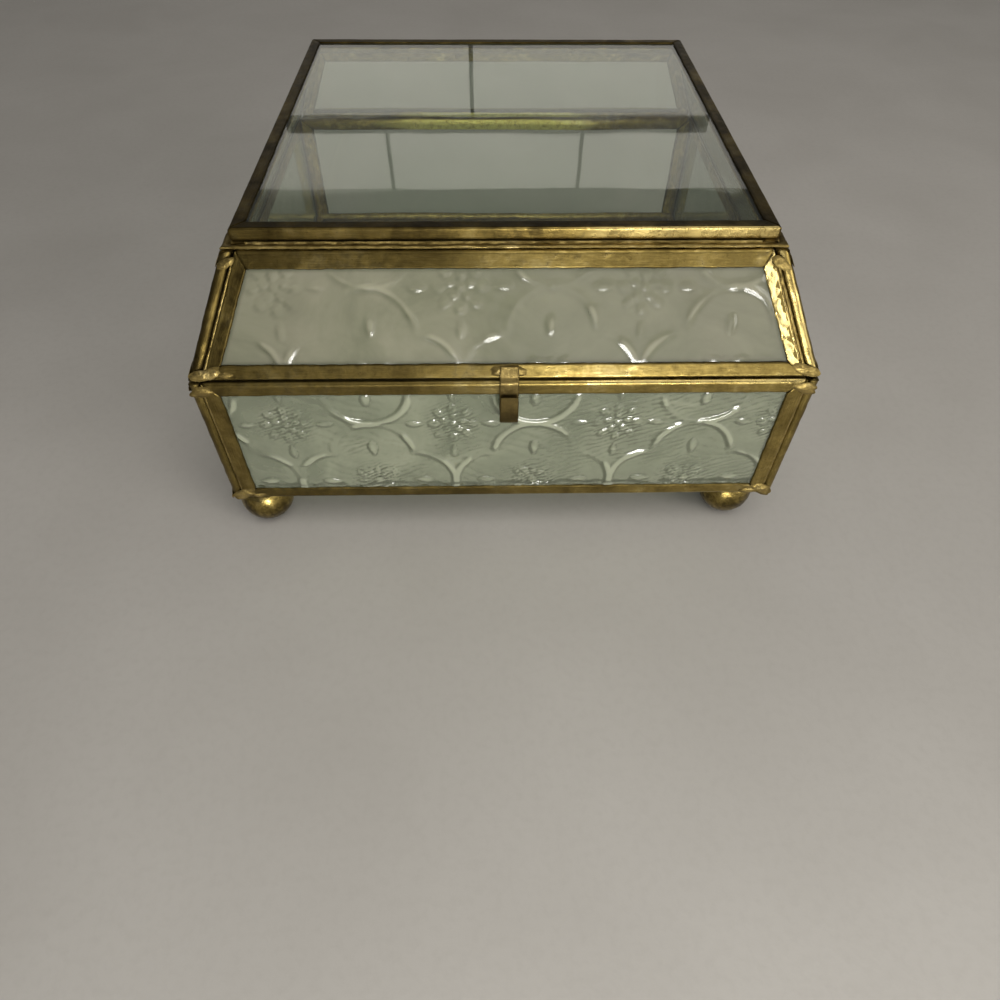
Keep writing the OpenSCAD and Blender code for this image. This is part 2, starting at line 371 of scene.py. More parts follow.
def figured(x, y, ox, oy, seed):
    """Height of the rolled figure: quatrefoils of four round lobes, touching at their tips,
    with a flower in each and in each star between them, and drops in the lobes."""
    wob = 0.35 * fbm(x / 11.0, y / 11.0, seed, 71, 2)
    wob2 = 0.35 * fbm(x / 11.0 + 9, y / 11.0, seed, 72, 2)
    x, y = x + wob, y + wob2
    qx = (x - ox + PITCH / 2) % PITCH - PITCH / 2
    qy = (y - oy + PITCH / 2) % PITCH - PITCH / 2
    cell = np.floor((x - ox + PITCH / 2) / PITCH) * 3.0 + np.floor((y - oy + PITCH / 2) / PITCH) * 7.0
    ax, ay = np.abs(qx), np.abs(qy)
    big, small = np.maximum(ax, ay), np.minimum(ax, ay)
    ring = np.hypot(big - LOBE, small) - LOBE
    cusp = np.hypot(ax - LOBE, ay - LOBE)
    line = np.where(big >= LOBE, np.abs(ring), cusp)
    outside = np.where(big >= LOBE, ring, -cusp)
    strength = 0.78 + 0.22 * noise(x / 4.0, y / 4.0, seed, 81)
    # the drawn line: a bold rib with a hollow inside it and a soft bank outside
    strength = strength * (1 - 0.80 * np.exp(-((cusp / 2.3) ** 2)))
    strength = strength * (0.26 + 0.80 * smooth(-0.42, 0.16, noise(x / 6.0, y / 5.0, seed, 82)))
    h = (0.72 if seed < 5 else 0.46) * strength * np.exp(-((line / 0.82) ** 2))
    h -= 0.24 * strength * np.exp(-(((outside + 1.75) / 0.70) ** 2))
    h += 0.08 * np.exp(-(((outside - 1.7) / 0.8) ** 2)) * strength
    # where two lobes meet
    tip = np.hypot(PITCH / 2 - big, small)
    h += 0.20 * np.exp(-((tip / 1.0) ** 2))

    def drop(u, v, length, width, height):
        """A teardrop lying along u, its round end at +u."""
        t = np.clip(u / length + 0.5, 0, 1)
        w = width * (0.35 + 0.65 * np.sin(np.clip(t, 0, 1) * math.pi * 0.62))
        q = (u / (length / 2)) ** 2 + (v / np.maximum(w / 2, 0.05)) ** 2
        return height * np.sqrt(np.clip(1 - q, 0, 1))

    # drops in the lobes
    h += drop(big - 12.4, small, 5.4, 2.5, 0.34)
    # flower in the quatrefoil: four notched petals on the diagonals, four slips between
    r = np.hypot(qx, qy)
    a = np.arctan2(qy, qx)
    for turn, rad, length, width, height in ((math.pi / 4, 4.1, 5.6, 4.0, 0.30), (0.0, 3.4, 4.2, 1.7, 0.22)):
        b = (a - turn + math.pi / 4) % (math.pi / 2) - math.pi / 4
        u, v = r * np.cos(b) - rad, r * np.sin(b)
        q = (u / (length / 2)) ** 2 + (v / (width / 2)) ** 2
        petal = height * np.sqrt(np.clip(1 - q, 0, 1))
        petal *= 1 - 0.5 * np.exp(-((v / 0.28) ** 2)) * (width > 3)
        petal *= 1 + 0.22 * np.sin(u * 5.2 + np.abs(v) * 2.6)
        h = np.maximum(h, petal)
    h = np.maximum(h, 0.34 * np.sqrt(np.clip(1 - (r / 1.35) ** 2, 0, 1)))
    # flower in the star: eight petals in two rings, a beaded eye, and slips to the four arms
    sx = np.where(qx > 0, qx - PITCH / 2, qx + PITCH / 2)
    sy = np.where(qy > 0, qy - PITCH / 2, qy + PITCH / 2)
    r = np.hypot(sx, sy)
    a = np.arctan2(sy, sx)
    for count, turn, rad, length, width, height in ((8, 0.0, 4.9, 3.0, 2.2, 0.28), (5, 0.3, 2.5, 2.4, 1.7, 0.32)):
        step = 2 * math.pi / count
        b = (a - turn + step / 2) % step - step / 2
        u, v = r * np.cos(b) - rad, r * np.sin(b)
        q = (u / (length / 2)) ** 2 + (v / (width / 2)) ** 2
        petal = height * np.sqrt(np.clip(1 - q, 0, 1)) * (1 - 0.35 * np.exp(-((v / 0.22) ** 2)))
        h = np.maximum(h, petal)
    h = np.maximum(h, 0.30 * np.sqrt(np.clip(1 - (r / 0.95) ** 2, 0, 1)))
    arm, across = np.maximum(np.abs(sx), np.abs(sy)), np.minimum(np.abs(sx), np.abs(sy))
    h = np.maximum(h, drop(arm - 9.6, across, 4.6, 1.9, 0.28))
    # crackled texture in and around the flowers
    near = np.exp(-((np.minimum(r, np.hypot(qx, qy)) / 6.4) ** 4))
    streak = np.sin((x * 0.42 - y * 0.91) * 5.6 + 2.2 * noise(x / 2.2, y / 2.2, seed, 83))
    h += near * (0.075 * streak + 0.10 * fbm(x / 1.0, y / 1.0, seed, 84, 2))
    # chatter from the roller: short ripples that run up to the right
    chatter = np.sin((-0.36 * x + 0.93 * y) * 4.1 + 2.4 * noise(x / 3.0, y / 2.0, seed, 94))
    h += (0.055 if seed < 5 else 0.022) * chatter * smooth(0.05, 0.55, noise(x / 13.0, y / 10.0, seed, 95) + 0.011 * (x - 5.0)) * (0.4 + 0.6 * np.clip(noise(x / 2.2, y / 1.4, seed, 96) + 0.3, 0, 1))
    # the open ground: a shallow roll and a light orange peel
    h += 0.060 * fbm(x / 7.0, y / 7.0, seed, 85, 2) + 0.034 * fbm(x / 2.6, y / 2.6, seed, 87, 2)
    h += 0.013 * fbm(x / 1.1, y / 1.1, seed, 86, 2)
    # faint fern-like strokes that fan out over the ground
    fan = np.sin((x * 0.30 + y * 0.95) * 2.3 + 3.0 * noise(x / 6.0, y / 6.0, seed, 88))
    h += 0.022 * fan * smooth(0.0, 0.5, noise(x / 9.0, y / 9.0, seed, 89))
    h = np.where(h > 0.34, 0.34 + 0.14 * np.tanh((h - 0.34) / 0.14), h)
    return np.clip(h - 0.03, -0.26, 0.47)


def glass_pane(name, to_world, corners, opening, figure, seed, body, material, step=0.31, depth=1.0, sill=None, wear_and_sheen=0):
    """corners: the pane's outline (4 points from low left, anticlockwise). opening: the same for what the came leaves bare.
    The figured face has the finer grid; the plain face has every fourth of its points."""
    sub = 4 if figure is not None else 1
    c = np.array(corners, float)
    w = max(np.linalg.norm(c[1] - c[0]), np.linalg.norm(c[2] - c[3]))
    hgt = max(np.linalg.norm(c[3] - c[0]), np.linalg.norm(c[2] - c[1]))
    nx, ny = (int(round(v / step / sub)) * sub + 1 for v in (w, hgt))
    s, t = np.meshgrid(np.linspace(0, 1, nx), np.linspace(0, 1, ny), indexing="ij")
    xy = (
        c[0] * ((1 - s) * (1 - t))[..., None]
        + c[1] * (s * (1 - t))[..., None]
        + c[2] * (s * t)[..., None]
        + c[3] * ((1 - s) * t)[..., None]
    )
    x, y = xy[..., 0], xy[..., 1]
    inside = np.full(x.shape, 1e9)
    o = np.array(opening, float)
    for k in range(4):
        p, q = o[k], o[(k + 1) % 4]
        e = (q - p) / np.linalg.norm(q - p)
        inside = np.minimum(inside, (x - p[0]) * -e[1] + (y - p[1]) * e[0])
    bare = smooth(-0.35, 0.5, inside)
    if figure is not None:
        h = figured(x, y, figure[0], figure[1], seed) * bare * depth + (1 - bare) * -0.02
        for _ in range(wear_and_sheen):
            for axis in (0, 1):
                a, b = np.roll(h, 1, axis), np.roll(h, -1, axis)
                edge = np.take(h, (0, -1), axis)
                h = 0.25 * a + 0.5 * h + 0.25 * b
                if axis == 0:
                    h[[0, -1], :] = edge
                else:
                    h[:, [0, -1]] = edge
        back = 0.020 * fbm(x / 9.0, y / 9.0, seed, 91, 2) * bare
        if sill is not None:
            # runs and putty along the lower edge
            low = smooth(sill + 2.6, sill + 0.6, y)
            h = h + bare * low * (0.22 * noise(x / 1.5, y / 0.9, seed, 97) + 0.16 * np.abs(noise(x / 0.9, y / 0.8, seed, 98)))
            h = np.minimum(h, 0.46)
    else:
        h = (0.012 * fbm(x / 26.0, y / 26.0, seed, 92, 2)) * bare
        back = 0.012 * fbm(x / 23.0, y / 23.0, seed + 5, 93, 2) * bare
    zf = -EDGE_IN + h
    zb = -EDGE_IN - GLASS_T + back
    front = to_world(np.stack([x, y, zf], -1)).reshape(-1, 3)
    rear = to_world(np.stack([x, y, zb], -1)[::sub, ::sub]).reshape(-1, 3)
    # painted shade in the hollows beside the ribs, most on their lower, left-hand side, and painted highlight on the
    # crests
    soft = h.copy()
    reach = max(1, int(round(0.75 / step)))
    for axis in (0, 1):
        pad = [(reach, reach) if k == axis else (0, 0) for k in (0, 1)]
        run = np.cumsum(np.pad(soft, pad, mode="edge"), axis)
        lo = np.take(run, range(0, soft.shape[axis]), axis)
        hi = np.take(run, range(2 * reach, 2 * reach + soft.shape[axis]), axis)
        soft = (hi - lo) / (2 * reach)
    gx, gy = np.gradient(h, step)
    darkening = np.clip((soft - h) / 0.09, 0, 1) * 0.55 + np.clip(0.8 * gx + 1.0 * gy - 0.12, 0, 1) * 0.7
    crest_highlight = smooth(0.14, 0.42 if wear_and_sheen == 0 else 0.36, h / depth) * bare * (1.0 if wear_and_sheen == 0 else 0.7)
    # darker: painted shade, patchy cloudiness and a rim along the came; lighter: the painted crest highlight
    grime = np.clip((1.9 if wear_and_sheen == 0 else 1.4) * darkening * bare * (1 - crest_highlight) + (0.10 if wear_and_sheen == 0 else 0.04) * smooth(-0.1, 0.5, fbm(x / 8.0, y / 6.0, seed, 102, 3)) * bare + 0.5 * (1 - smooth(0.0, 0.9, inside)), 0, 1) - crest_highlight
    if sill is not None:
        # a dark broken line along the lower edge: painted shade standing in for the bottom came seen through the glass
        line = (y - sill - 1.35 - 0.55 * noise(x / 3.2, 0.3, seed, 99)) / (0.40 + 0.18 * noise(x / 1.4, 0.7, seed, 100))
        grime = grime + np.exp(-(line ** 2)) * smooth(-0.65, -0.2, noise(x / 4.5, 0.9, seed, 101)) * 1.7
        grime = np.clip(grime, -1, 1)
    grime = np.concatenate([grime.reshape(-1) * (figure is not None), np.zeros(rear.shape[0])])
    mx, my = (nx - 1) // sub + 1, (ny - 1) // sub + 1
    idx = np.arange(nx * ny).reshape(nx, ny)
    rdx = np.arange(mx * my).reshape(mx, my) + nx * ny
    faces = np.stack([idx[:-1, :-1], idx[1:, :-1], idx[1:, 1:], idx[:-1, 1:]], -1).reshape(-1, 4).tolist()
    faces += np.stack([rdx[:-1, :-1], rdx[:-1, 1:], rdx[1:, 1:], rdx[1:, :-1]], -1).reshape(-1, 4).tolist()
    for f, g in ((idx[:, 0], rdx[:, 0]), (idx[-1], rdx[-1]), (idx[::-1, -1], rdx[::-1, -1]), (idx[0, ::-1], rdx[0, ::-1])):
        for k in range(len(g) - 1):
            faces.append([int(v) for v in f[k * sub : (k + 1) * sub + 1][::-1]] + [int(g[k]), int(g[k + 1])])
    sh = Shell()
    sh.add(np.concatenate([front, rear]), faces, None, grime)
    return sh.object(name, material, body, [name.replace("pane_", "") + "_glass"], sharp=60)


# ---------------------------------------------------------------- materials
class Nodes:
    def __init__(self, name):
        self.mat = bpy.data.materials.new(name)
        self.mat.use_nodes = True
        self.nt = self.mat.node_tree
        self.nt.nodes.clear()
        self.out = self.nt.nodes.new("ShaderNodeOutputMaterial")

    def n(self, kind, **props):
        nd = self.nt.nodes.new(kind)
        for k, v in props.items():
            setattr(nd, k, v)
        return nd

    def l(self, a, b):
        self.nt.links.new(a, b)

    def attr(self, name):
        return self.n("ShaderNodeAttribute", attribute_name=name)

    def obj(self, scale=(1, 1, 1)):
        tc = self.n("ShaderNodeTexCoord")
        mp = self.n("ShaderNodeMapping")
        mp.inputs["Scale"].default_value = scale
        self.l(tc.outputs["Object"], mp.inputs["Vector"])
        return mp.outputs["Vector"]

    def scaled(self, socket, scale):
        mp = self.n("ShaderNodeMapping")
        mp.inputs["Scale"].default_value = scale
        self.l(socket, mp.inputs["Vector"])
        return mp.outputs["Vector"]

    def noise(self, vector, scale, detail=3.0, rough=0.55, dist=0.0):
        nd = self.n("ShaderNodeTexNoise")
        nd.inputs["Scale"].default_value = scale
        nd.inputs["Detail"].default_value = detail
        nd.inputs["Roughness"].default_value = rough
        nd.inputs["Distortion"].default_value = dist
        self.l(vector, nd.inputs["Vector"])
        return nd.outputs["Fac"]

    def range(self, socket, a, b, c=0.0, d=1.0):
        nd = self.n("ShaderNodeMapRange")
        nd.inputs["From Min"].default_value = a
        nd.inputs["From Max"].default_value = b
        nd.inputs["To Min"].default_value = c
        nd.inputs["To Max"].default_value = d
        self.l(socket, nd.inputs["Value"])
        return nd.outputs["Result"]

    def math(self, op, a, b):
        nd = self.n("ShaderNodeMath", operation=op)
        for k, v in enumerate((a, b)):
            if isinstance(v, (int, float)):
                nd.inputs[k].default_value = v
            else:
                self.l(v, nd.inputs[k])
        return nd.outputs[0]

    def mix(self, fac, a, b, blend="MIX"):
        nd = self.n("ShaderNodeMix", data_type="RGBA", blend_type=blend)
        for sock, v in ((nd.inputs[0], fac), (nd.inputs[6], a), (nd.inputs[7], b)):
            if isinstance(v, (int, float)):
                sock.default_value = v
            elif isinstance(v, tuple):
                sock.default_value = (*v, 1.0)
            else:
                self.l(v, sock)
        return nd.outputs[2]

    def ramp(self, fac, stops):
        nd = self.n("ShaderNodeValToRGB")
        el = nd.color_ramp.elements
        while len(el) < len(stops):
            el.new(0.5)
        for e, (pos, col) in zip(el, stops):
            e.position = pos
            e.color = (*col, 1.0)
        self.l(fac, nd.inputs["Fac"])
        return nd.outputs["Color"]

    def bump(self, height, strength, distance, normal=None):
        nd = self.n("ShaderNodeBump")
        nd.inputs["Strength"].default_value = strength
        nd.inputs["Distance"].default_value = distance
        self.l(height, nd.inputs["Height"])
        if normal is not None:
            self.l(normal, nd.inputs["Normal"])
        return nd.outputs["Normal"]


def brass(name, dark, mid, gold, pale, rough=(0.24, 0.5), blotch=85.0, streaks=1.0, pits=1.0, tarnish_and_shade=0.5, grime_shade_depth=0.85):
    """Aged brass: worn gold over olive and brown tarnish, fine drawn scratches along the metal and small pits."""
    m = Nodes(name)
    ob = m.obj()
    grain = m.attr("grain").outputs["Vector"]
    grime = m.attr("grime").outputs["Fac"]
    big = m.noise(ob, blotch, 4.0, 0.6, 0.6)
    mid_n = m.noise(ob, blotch * 5.5, 4.0, 0.62, 0.4)
    fine = m.noise(ob, blotch * 26, 3.0, 0.6)
    along = m.noise(m.scaled(grain, (0.10, 3.4, 5.0)), 1.6, 3.0, 0.6)
    hair = m.noise(m.scaled(grain, (0.22, 14.0, 5.0)), 1.4, 2.0, 0.7)
    tone = m.math("ADD", m.math("MULTIPLY", big, 0.50), m.math("MULTIPLY", mid_n, 0.30))
    tone = m.math("ADD", tone, m.math("MULTIPLY", along, 0.20 * streaks))
    tone = m.math("ADD", tone, 0.10 * (1 - streaks))
    col = m.ramp(tone, [(0.30 + 0.12 * tarnish_and_shade - 0.06, dark), (0.40 + 0.12 * tarnish_and_shade - 0.06, mid), (0.54, gold), (0.70, pale)])
    speck = m.range(fine, 0.60, 0.74, 0.0, 0.55)
    col = m.mix(speck, col, dark)
    bright = m.range(hair, 0.56, 0.74, 0.0, 0.35 * streaks)
    col = m.mix(bright, col, pale)
    # darker where the attribute is above 0: grime, and painted shade
    darkening = m.math("MULTIPLY", m.range(grime, 0.15, 1.0, 0.0, grime_shade_depth), m.range(mid_n, 0.30, 0.60, 0.55, 1.0))
    col = m.mix(darkening, col, tuple(0.55 * c for c in dark))
    # lighter where the attribute is below 0: painted highlight
    wear_and_sheen = m.range(grime, -0.05, -0.9, 0.0, 1.0)
    col = m.mix(m.math("MULTIPLY", wear_and_sheen, m.range(mid_n, 0.40, 0.60, 1.0, 0.66)), col, tuple(min(1.0, c * 1.16) for c in pale))
    p = m.n("ShaderNodeBsdfPrincipled")
    p.inputs["Metallic"].default_value = 1.0
    p.inputs["IOR"].default_value = 1.5
    m.l(col, p.inputs["Base Color"])
    r = m.math("ADD", m.range(mid_n, 0.34, 0.68, rough[1], rough[0]), m.range(hair, 0.3, 0.7, -0.05, 0.07))
    r = m.math("ADD", r, m.math("MULTIPLY", darkening, 0.22))
    r = m.math("SUBTRACT", r, m.math("MULTIPLY", wear_and_sheen, 0.08))
    m.l(r, p.inputs["Roughness"])
    b1 = m.bump(mid_n, 0.16 * pits, 0.00045)
    b2 = m.bump(hair, 0.10 * streaks, 0.00008, b1)
    b3 = m.bump(fine, 0.22 * pits, 0.00009, b2)
    m.l(b3, p.inputs["Normal"])
    m.l(p.outputs["BSDF"], m.out.inputs["Surface"])
    return m.mat


def glass(name, clear, cloudy, shadow, transmission, rough, haze_scale, bump, coat=0.0):
    """Soda glass with a slight green cast. transmission below 1 leaves a milky haze; the cloudiness,
    the smears and the dust vary over the pane."""
    m = Nodes(name)
    ob = m.obj()
    smear = m.noise(m.scaled(ob, (1.0, 0.45, 1.0)), haze_scale, 5.0, 0.6, 1.4)
    cloud = m.noise(ob, haze_scale * 0.45, 3.0, 0.5, 0.6)
    dust = m.noise(ob, 900.0, 2.0, 0.6)
    tone = m.mix(m.range(smear, 0.32, 0.70, 0.0, 1.0), clear, cloudy)
    tone = m.mix(m.range(cloud, 0.35, 0.68, 0.0, 0.5), tone, tuple(0.86 * c for c in clear))
    grime = m.attr("grime").outputs["Fac"]
    # below 0 lightens the tone (painted highlight on crests); above 0 darkens it (painted shade in hollows)
    tone = m.mix(m.range(grime, -0.05, -1.0, 0.0, 0.85), tone, tuple(min(1.0, 1.35 * c) for c in cloudy))
    tone = m.mix(m.math("MULTIPLY", m.range(grime, 0.0, 1.0, 0.0, 1.0), m.range(smear, 0.25, 0.6, 0.6, 1.0)), tone, (0.11, 0.125, 0.08))
    p = m.n("ShaderNodeBsdfPrincipled")
    p.inputs["Transmission Weight"].default_value = transmission
    p.inputs["IOR"].default_value = 1.5
    p.inputs["Metallic"].default_value = 0.0
    m.l(tone, p.inputs["Base Color"])
    m.l(m.math("ADD", m.range(smear, 0.36, 0.74, rough[0], rough[1]), m.range(dust, 0.60, 0.85, 0.0, 0.03)), p.inputs["Roughness"])
    if coat:
        p.inputs["Coat Weight"].default_value = coat
        p.inputs["Coat Roughness"].default_value = 0.07
        p.inputs["Coat IOR"].default_value = 1.5
    m.l(m.bump(m.noise(ob, bump[0], 2.0, 0.5), bump[1], bump[2]), p.inputs["Normal"])
    t = m.n("ShaderNodeBsdfTransparent")
    t.inputs["Color"].default_value = (*shadow, 1.0)
    lp = m.n("ShaderNodeLightPath")
    mx = m.n("ShaderNodeMixShader")
    m.l(lp.outputs["Is Shadow Ray"], mx.inputs[0])
    m.l(p.outputs["BSDF"], mx.inputs[1])
    m.l(t.outputs["BSDF"], mx.inputs[2])
    m.l(mx.outputs["Shader"], m.out.inputs["Surface"])
    return m.mat


M_CAME = brass("came_brass", (0.050, 0.035, 0.011), (0.14, 0.100, 0.027), (0.31, 0.230, 0.069), (0.68, 0.55, 0.24), rough=(0.22, 0.42))
# a brighter copy of the came brass for the rear frames: painted highlight
M_CAME_REAR_LIT = brass("came_brass_rear_lit", (0.055, 0.038, 0.011), (0.15, 0.107, 0.028), (0.37, 0.272, 0.076), (1.0, 0.75, 0.26), rough=(0.32, 0.48))
# a darker copy of the came brass for the top frame and the left slope: painted shade
M_CAME_SHADED = brass("came_brass_shaded", (0.034, 0.024, 0.008), (0.085, 0.060, 0.017), (0.27, 0.195, 0.056), (0.66, 0.52, 0.21), rough=(0.24, 0.42), tarnish_and_shade=0.75)
M_SOLDER = brass("solder", (0.080, 0.056, 0.018), (0.21, 0.152, 0.048), (0.40, 0.30, 0.105), (0.72, 0.58, 0.29), rough=(0.28, 0.52), blotch=140, streaks=0.0, pits=1.6, grime_shade_depth=0.7)
# darker palette for the balls: painted shade standing in for the dim room they reflect
M_FOOT = brass("foot_brass", (0.036, 0.026, 0.009), (0.105, 0.077, 0.023), (0.28, 0.210, 0.064), (0.74, 0.59, 0.25), rough=(0.18, 0.36), blotch=120, streaks=0.3, tarnish_and_shade=0.95)
M_HINGE = brass("hinge_brass", (0.085, 0.058, 0.019), (0.25, 0.18, 0.052), (0.48, 0.36, 0.115), (0.74, 0.60, 0.27), rough=(0.24, 0.46), blotch=110, streaks=1.0)
M_WIRE = brass("hinge_wire", (0.08, 0.06, 0.03), (0.22, 0.17, 0.075), (0.42, 0.335, 0.16), (0.64, 0.54, 0.31), rough=(0.28, 0.5), blotch=150, streaks=0.6)
M_TAB = brass("tab_brass", (0.052, 0.037, 0.013), (0.12, 0.087, 0.030), (0.225, 0.166, 0.060), (0.46, 0.35, 0.15), rough=(0.30, 0.52), blotch=130, streaks=0.8)
M_FIGURED = glass("figured_glass", (0.30, 0.33, 0.24), (0.47, 0.495, 0.375), (0.50, 0.53, 0.44), 0.54, (0.04, 0.14), 48.0, (620.0, 0.14, 0.00012), coat=1.0)
M_FIGURED_LID = glass("figured_glass_lid", (0.345, 0.352, 0.262), (0.50, 0.487, 0.382), (0.54, 0.55, 0.455), 0.56, (0.11, 0.23), 34.0, (620.0, 0.12, 0.0001), coat=0.12)
M_CLEAR = glass("clear_glass", (0.79, 0.846, 0.775), (0.86, 0.885, 0.83), (0.76, 0.83, 0.745), 0.97, (0.0, 0.035), 30.0, (40.0, 0.03, 0.0004))


# ---------------------------------------------------------------- cames
def hip_marks(k, along, length, d, zl):
    """Crinkled brass with cross creases on the front slope's right-hand length, which was pressed
    back towards the hip."""
    if k != 1:
        return 0 * along
    face = smooth(-0.5, -0.1, zl)
    crinkle = 0.16 * fbm(along / 1.5, d / 1.1, zl * 0.2, 301, 3)
    creases = 0
    for at, w, deep in ((4.2, 0.4, 0.10), (8.5, 0.5, 0.18), (12.4, 0.35, 0.08), (16.5, 0.35, 0.14), (21.0, 0.6, 0.14)):
        creases = creases - deep * np.exp(-(((along - at - 0.5 * np.sin(d * 1.4)) / w) ** 2))
    back = -0.52 * np.clip((HIP_FACE - d) / HIP_FACE, 0, 1) * face * smooth(0.5, 3.5, along) * smooth(0.5, 3.0, length - along)
    return (crinkle + creases) * face + back - 0.06


def hip_painted_light(k, along, length, d, zl):
    """Painted highlight on the right-hand front hip and painted shade on the left-hand one; painted shade on the rails,
    deepest at the left, so they are a little brighter towards the right-hand hip.
    """
    if k == 1:
        return smooth(-0.8, -0.1, zl) * (0.85 + 0.15 * noise(along / 2.0, d, 0, 331)) * smooth(0.0, 1.2, along)
    if k == 3:
        return -1.1 * smooth(0.3, 1.2, d + 0.4 * noise(along / 3.0, 0.4, 0, 333)) * smooth(-1.4, -0.2, zl)
    right = along / length if k == 0 else 1 - along / length
    right = right + 0.12 * noise(along / 9.0, 0.2, 0, 332 + k)
    return (-0.32 * smooth(0.50, 0.85, right) - 0.95 * smooth(0.72, 0.30, right)) * smooth(-1.4, -0.2, zl)


def rail_painted_light(k, along, length, d, zl):
    """Painted highlight along the outer edges of the rims and top, more towards the right; painted shade on the rest
    towards the left and on the side lengths, the left-hand one most.
    """
    if k != 2 and k != 0:
        return (-0.5 if k == 3 else -0.2) * smooth(-3.3, -2.4, zl) * (0.8 + 0.3 * noise(along / 5.0, d / 2.0, 0, 345))
    right = along / length if k == 0 else 1 - along / length
    edge = np.exp(-(((d - 0.25) / 0.7) ** 2))
    bright = edge * smooth(0.25, 0.85, right + 0.2 * noise(along / 7.0, 0.5, 0, 341 + k)) * smooth(-3.3, -2.4, zl)
    return 0.50 * bright - 0.9 * (1 - bright) * smooth(0.95, 0.3, right)


def lengths_painted_light(amounts):
    """Painted shade (below 0) or painted highlight (above 0) on whole lengths of a frame."""

    def wear_and_sheen(k, along, length, d, zl):
        if k not in amounts:
            return 0 * along
        return amounts[k] * (0.8 + 0.35 * noise(along / 6.0, d / 2.5, zl / 3.0, 361 + k))

    return wear_and_sheen


def crowned(rail):
    """One rail's inner face is rubbed round."""

    def push(k, along, length, d, zl):
        return -0.34 * (k == rail) * smooth(-2.4, -2.9, zl) * ((d - 1.9) / 2.0) ** 2

    return push


# painted highlight on the middle stretch of the crowned rail's inner face
def crowned_painted_highlight(rail, turned):
    def wear_and_sheen(k, along, length, d, zl):
        t = 1 - along / length if turned else along / length
        t = t + 0.03 * noise(along / 5.0, d / 2.0, 0, 351)
        return (k == rail) * smooth(-2.4, -2.9, zl) * (smooth(0.16, 0.32, t) - smooth(0.68, 0.80, t)) * 1.0

    return wear_and_sheen


def cast_marks(k, along, length, d, zl):
    """Uprights and hips are brushed over with solder, so they look lumpy, almost cast."""
    if k not in (1, 3):
        return 0 * along
    lumps = 0.11 * fbm(along / 2.4, d / 1.6 + k * 5.0, zl / 1.9, 311 + k, 3)
    ridge = -0.05 * np.exp(-(((d - 1.9) / 0.35) ** 2)) * smooth(-0.5, 0.0, zl)
    return lumps + ridge - 0.06


def came_object(name, node, body, frames, material=M_CAME):
    sh = Shell()
    for args in frames:
        came_frame(sh, **args)
    return sh.object(name, material, body, [node])


def base_came(name, i, w, rounds, seed, material=M_CAME, **kw):
    outer, inner = square_outer(w, BASE_H)
    return came_object(
        "came_" + name, name + "_came", "base",
        [dict(to_world=side(i, BASE_Z, 90), outer=outer, inner=inner, rounds=rounds, seed=seed, **kw)],
        material,
    )


# lengths run: bottom, right, top, left
base_came("base_front", 0, INNER_W, (1.1, 0.4, 1.15, 0.4), 3, swell=(0.22, 0.22, 0.12, 0.12), polish=rail_painted_light)
base_came("base_right", 1, 2 * HALF, (1.1, 1.6, 1.15, 1.6), 4, extra=cast_marks, polish=lengths_painted_light({3: -0.5, 1: -0.5, 0: -0.5, 2: -0.3}))
base_came("base_rear", 2, INNER_W, (1.1, 0.4, 1.15, 0.4), 5, M_CAME_REAR_LIT, swell=(0.2, 0.2, 0.1, 0.1), extra=crowned(2), polish=crowned_painted_highlight(2, False))
base_came("base_left", 3, 2 * HALF, (1.1, 1.6, 1.15, 1.6), 6, swell=(0.15, 0.15, 0.1, 0.1), extra=cast_marks, polish=lengths_painted_light({1: -0.9, 3: -0.6, 0: -0.5, 2: -0.4}))
outer, inner = square_outer(INNER_W, INNER_W)
came_object("came_base_bottom", "base_bottom_came", "base",
            [dict(to_world=level(-INNER_W / 2, BASE_Z + CAME_T), outer=outer, inner=inner, rounds=(0.5,) * 4, seed=7, face_shade=0.45)])


def lid_came(name, i, w0, rounds, seed, material=M_CAME, **kw):
    outer, inner = lid_outer(w0)
    return came_object(
        "came_" + name, name + "_came", "lid",
        [dict(to_world=side(i, RIM_Z, SLOPE), outer=outer, inner=inner, rounds=rounds, seed=seed, faces=(FACE, HIP_FACE, FACE, HIP_FACE), **kw)],
        material,
    )


lid_came("lid_front", 0, BETWEEN, (0.7, 0.45, 0.7, 0.45), 13, swell=(0.10, 0.10, 0.14, 0.14), extra=hip_marks, polish=hip_painted_light)
lid_came("lid_right", 1, PAST, (0.7, 1.5, 0.7, 1.5), 14, extra=cast_marks, polish=lengths_painted_light({3: 0.35, 1: -0.3, 0: -0.2, 2: -0.2}))
lid_came("lid_rear", 2, BETWEEN, (0.7, 0.45, 0.7, 0.45), 15, M_CAME_REAR_LIT, swell=(0.10, 0.10, 0.14, 0.14), extra=crowned(0), polish=crowned_painted_highlight(0, True))
lid_came("lid_left", 3, PAST, (0.7, 1.5, 0.7, 1.5), 16, M_CAME_SHADED, extra=cast_marks, polish=lengths_painted_light({1: -1.0, 3: -0.6, 0: -0.4, 2: -0.4}))
outer, inner = square_outer(TOP_W, TOP_W, TOP_FACE)
came_object("came_lid_top", "lid_top_came", "lid",
            [dict(to_world=level(-TOP_W / 2, RIM_Z + LID_H), outer=outer, inner=inner, rounds=(0.6,) * 4, seed=17, faces=(TOP_FACE,) * 4, face_shade=0.75, polish=rail_painted_light)], M_CAME_SHADED)


# ---------------------------------------------------------------- panes
def rect(w, h, inset):
    return [(-w / 2 + inset, inset), (w / 2 - inset, inset), (w / 2 - inset, h - inset), (-w / 2 + inset, h - inset)]


def base_pane(name, i, w, figure, seed, material):
    glass_pane("pane_" + name, side(i, BASE_Z, 90), rect(w, BASE_H, 0.9), rect(w, BASE_H, FACE), figure, seed, "base", material, step=0.8 if figure is None else 0.31, sill=None if figure is None else FACE)


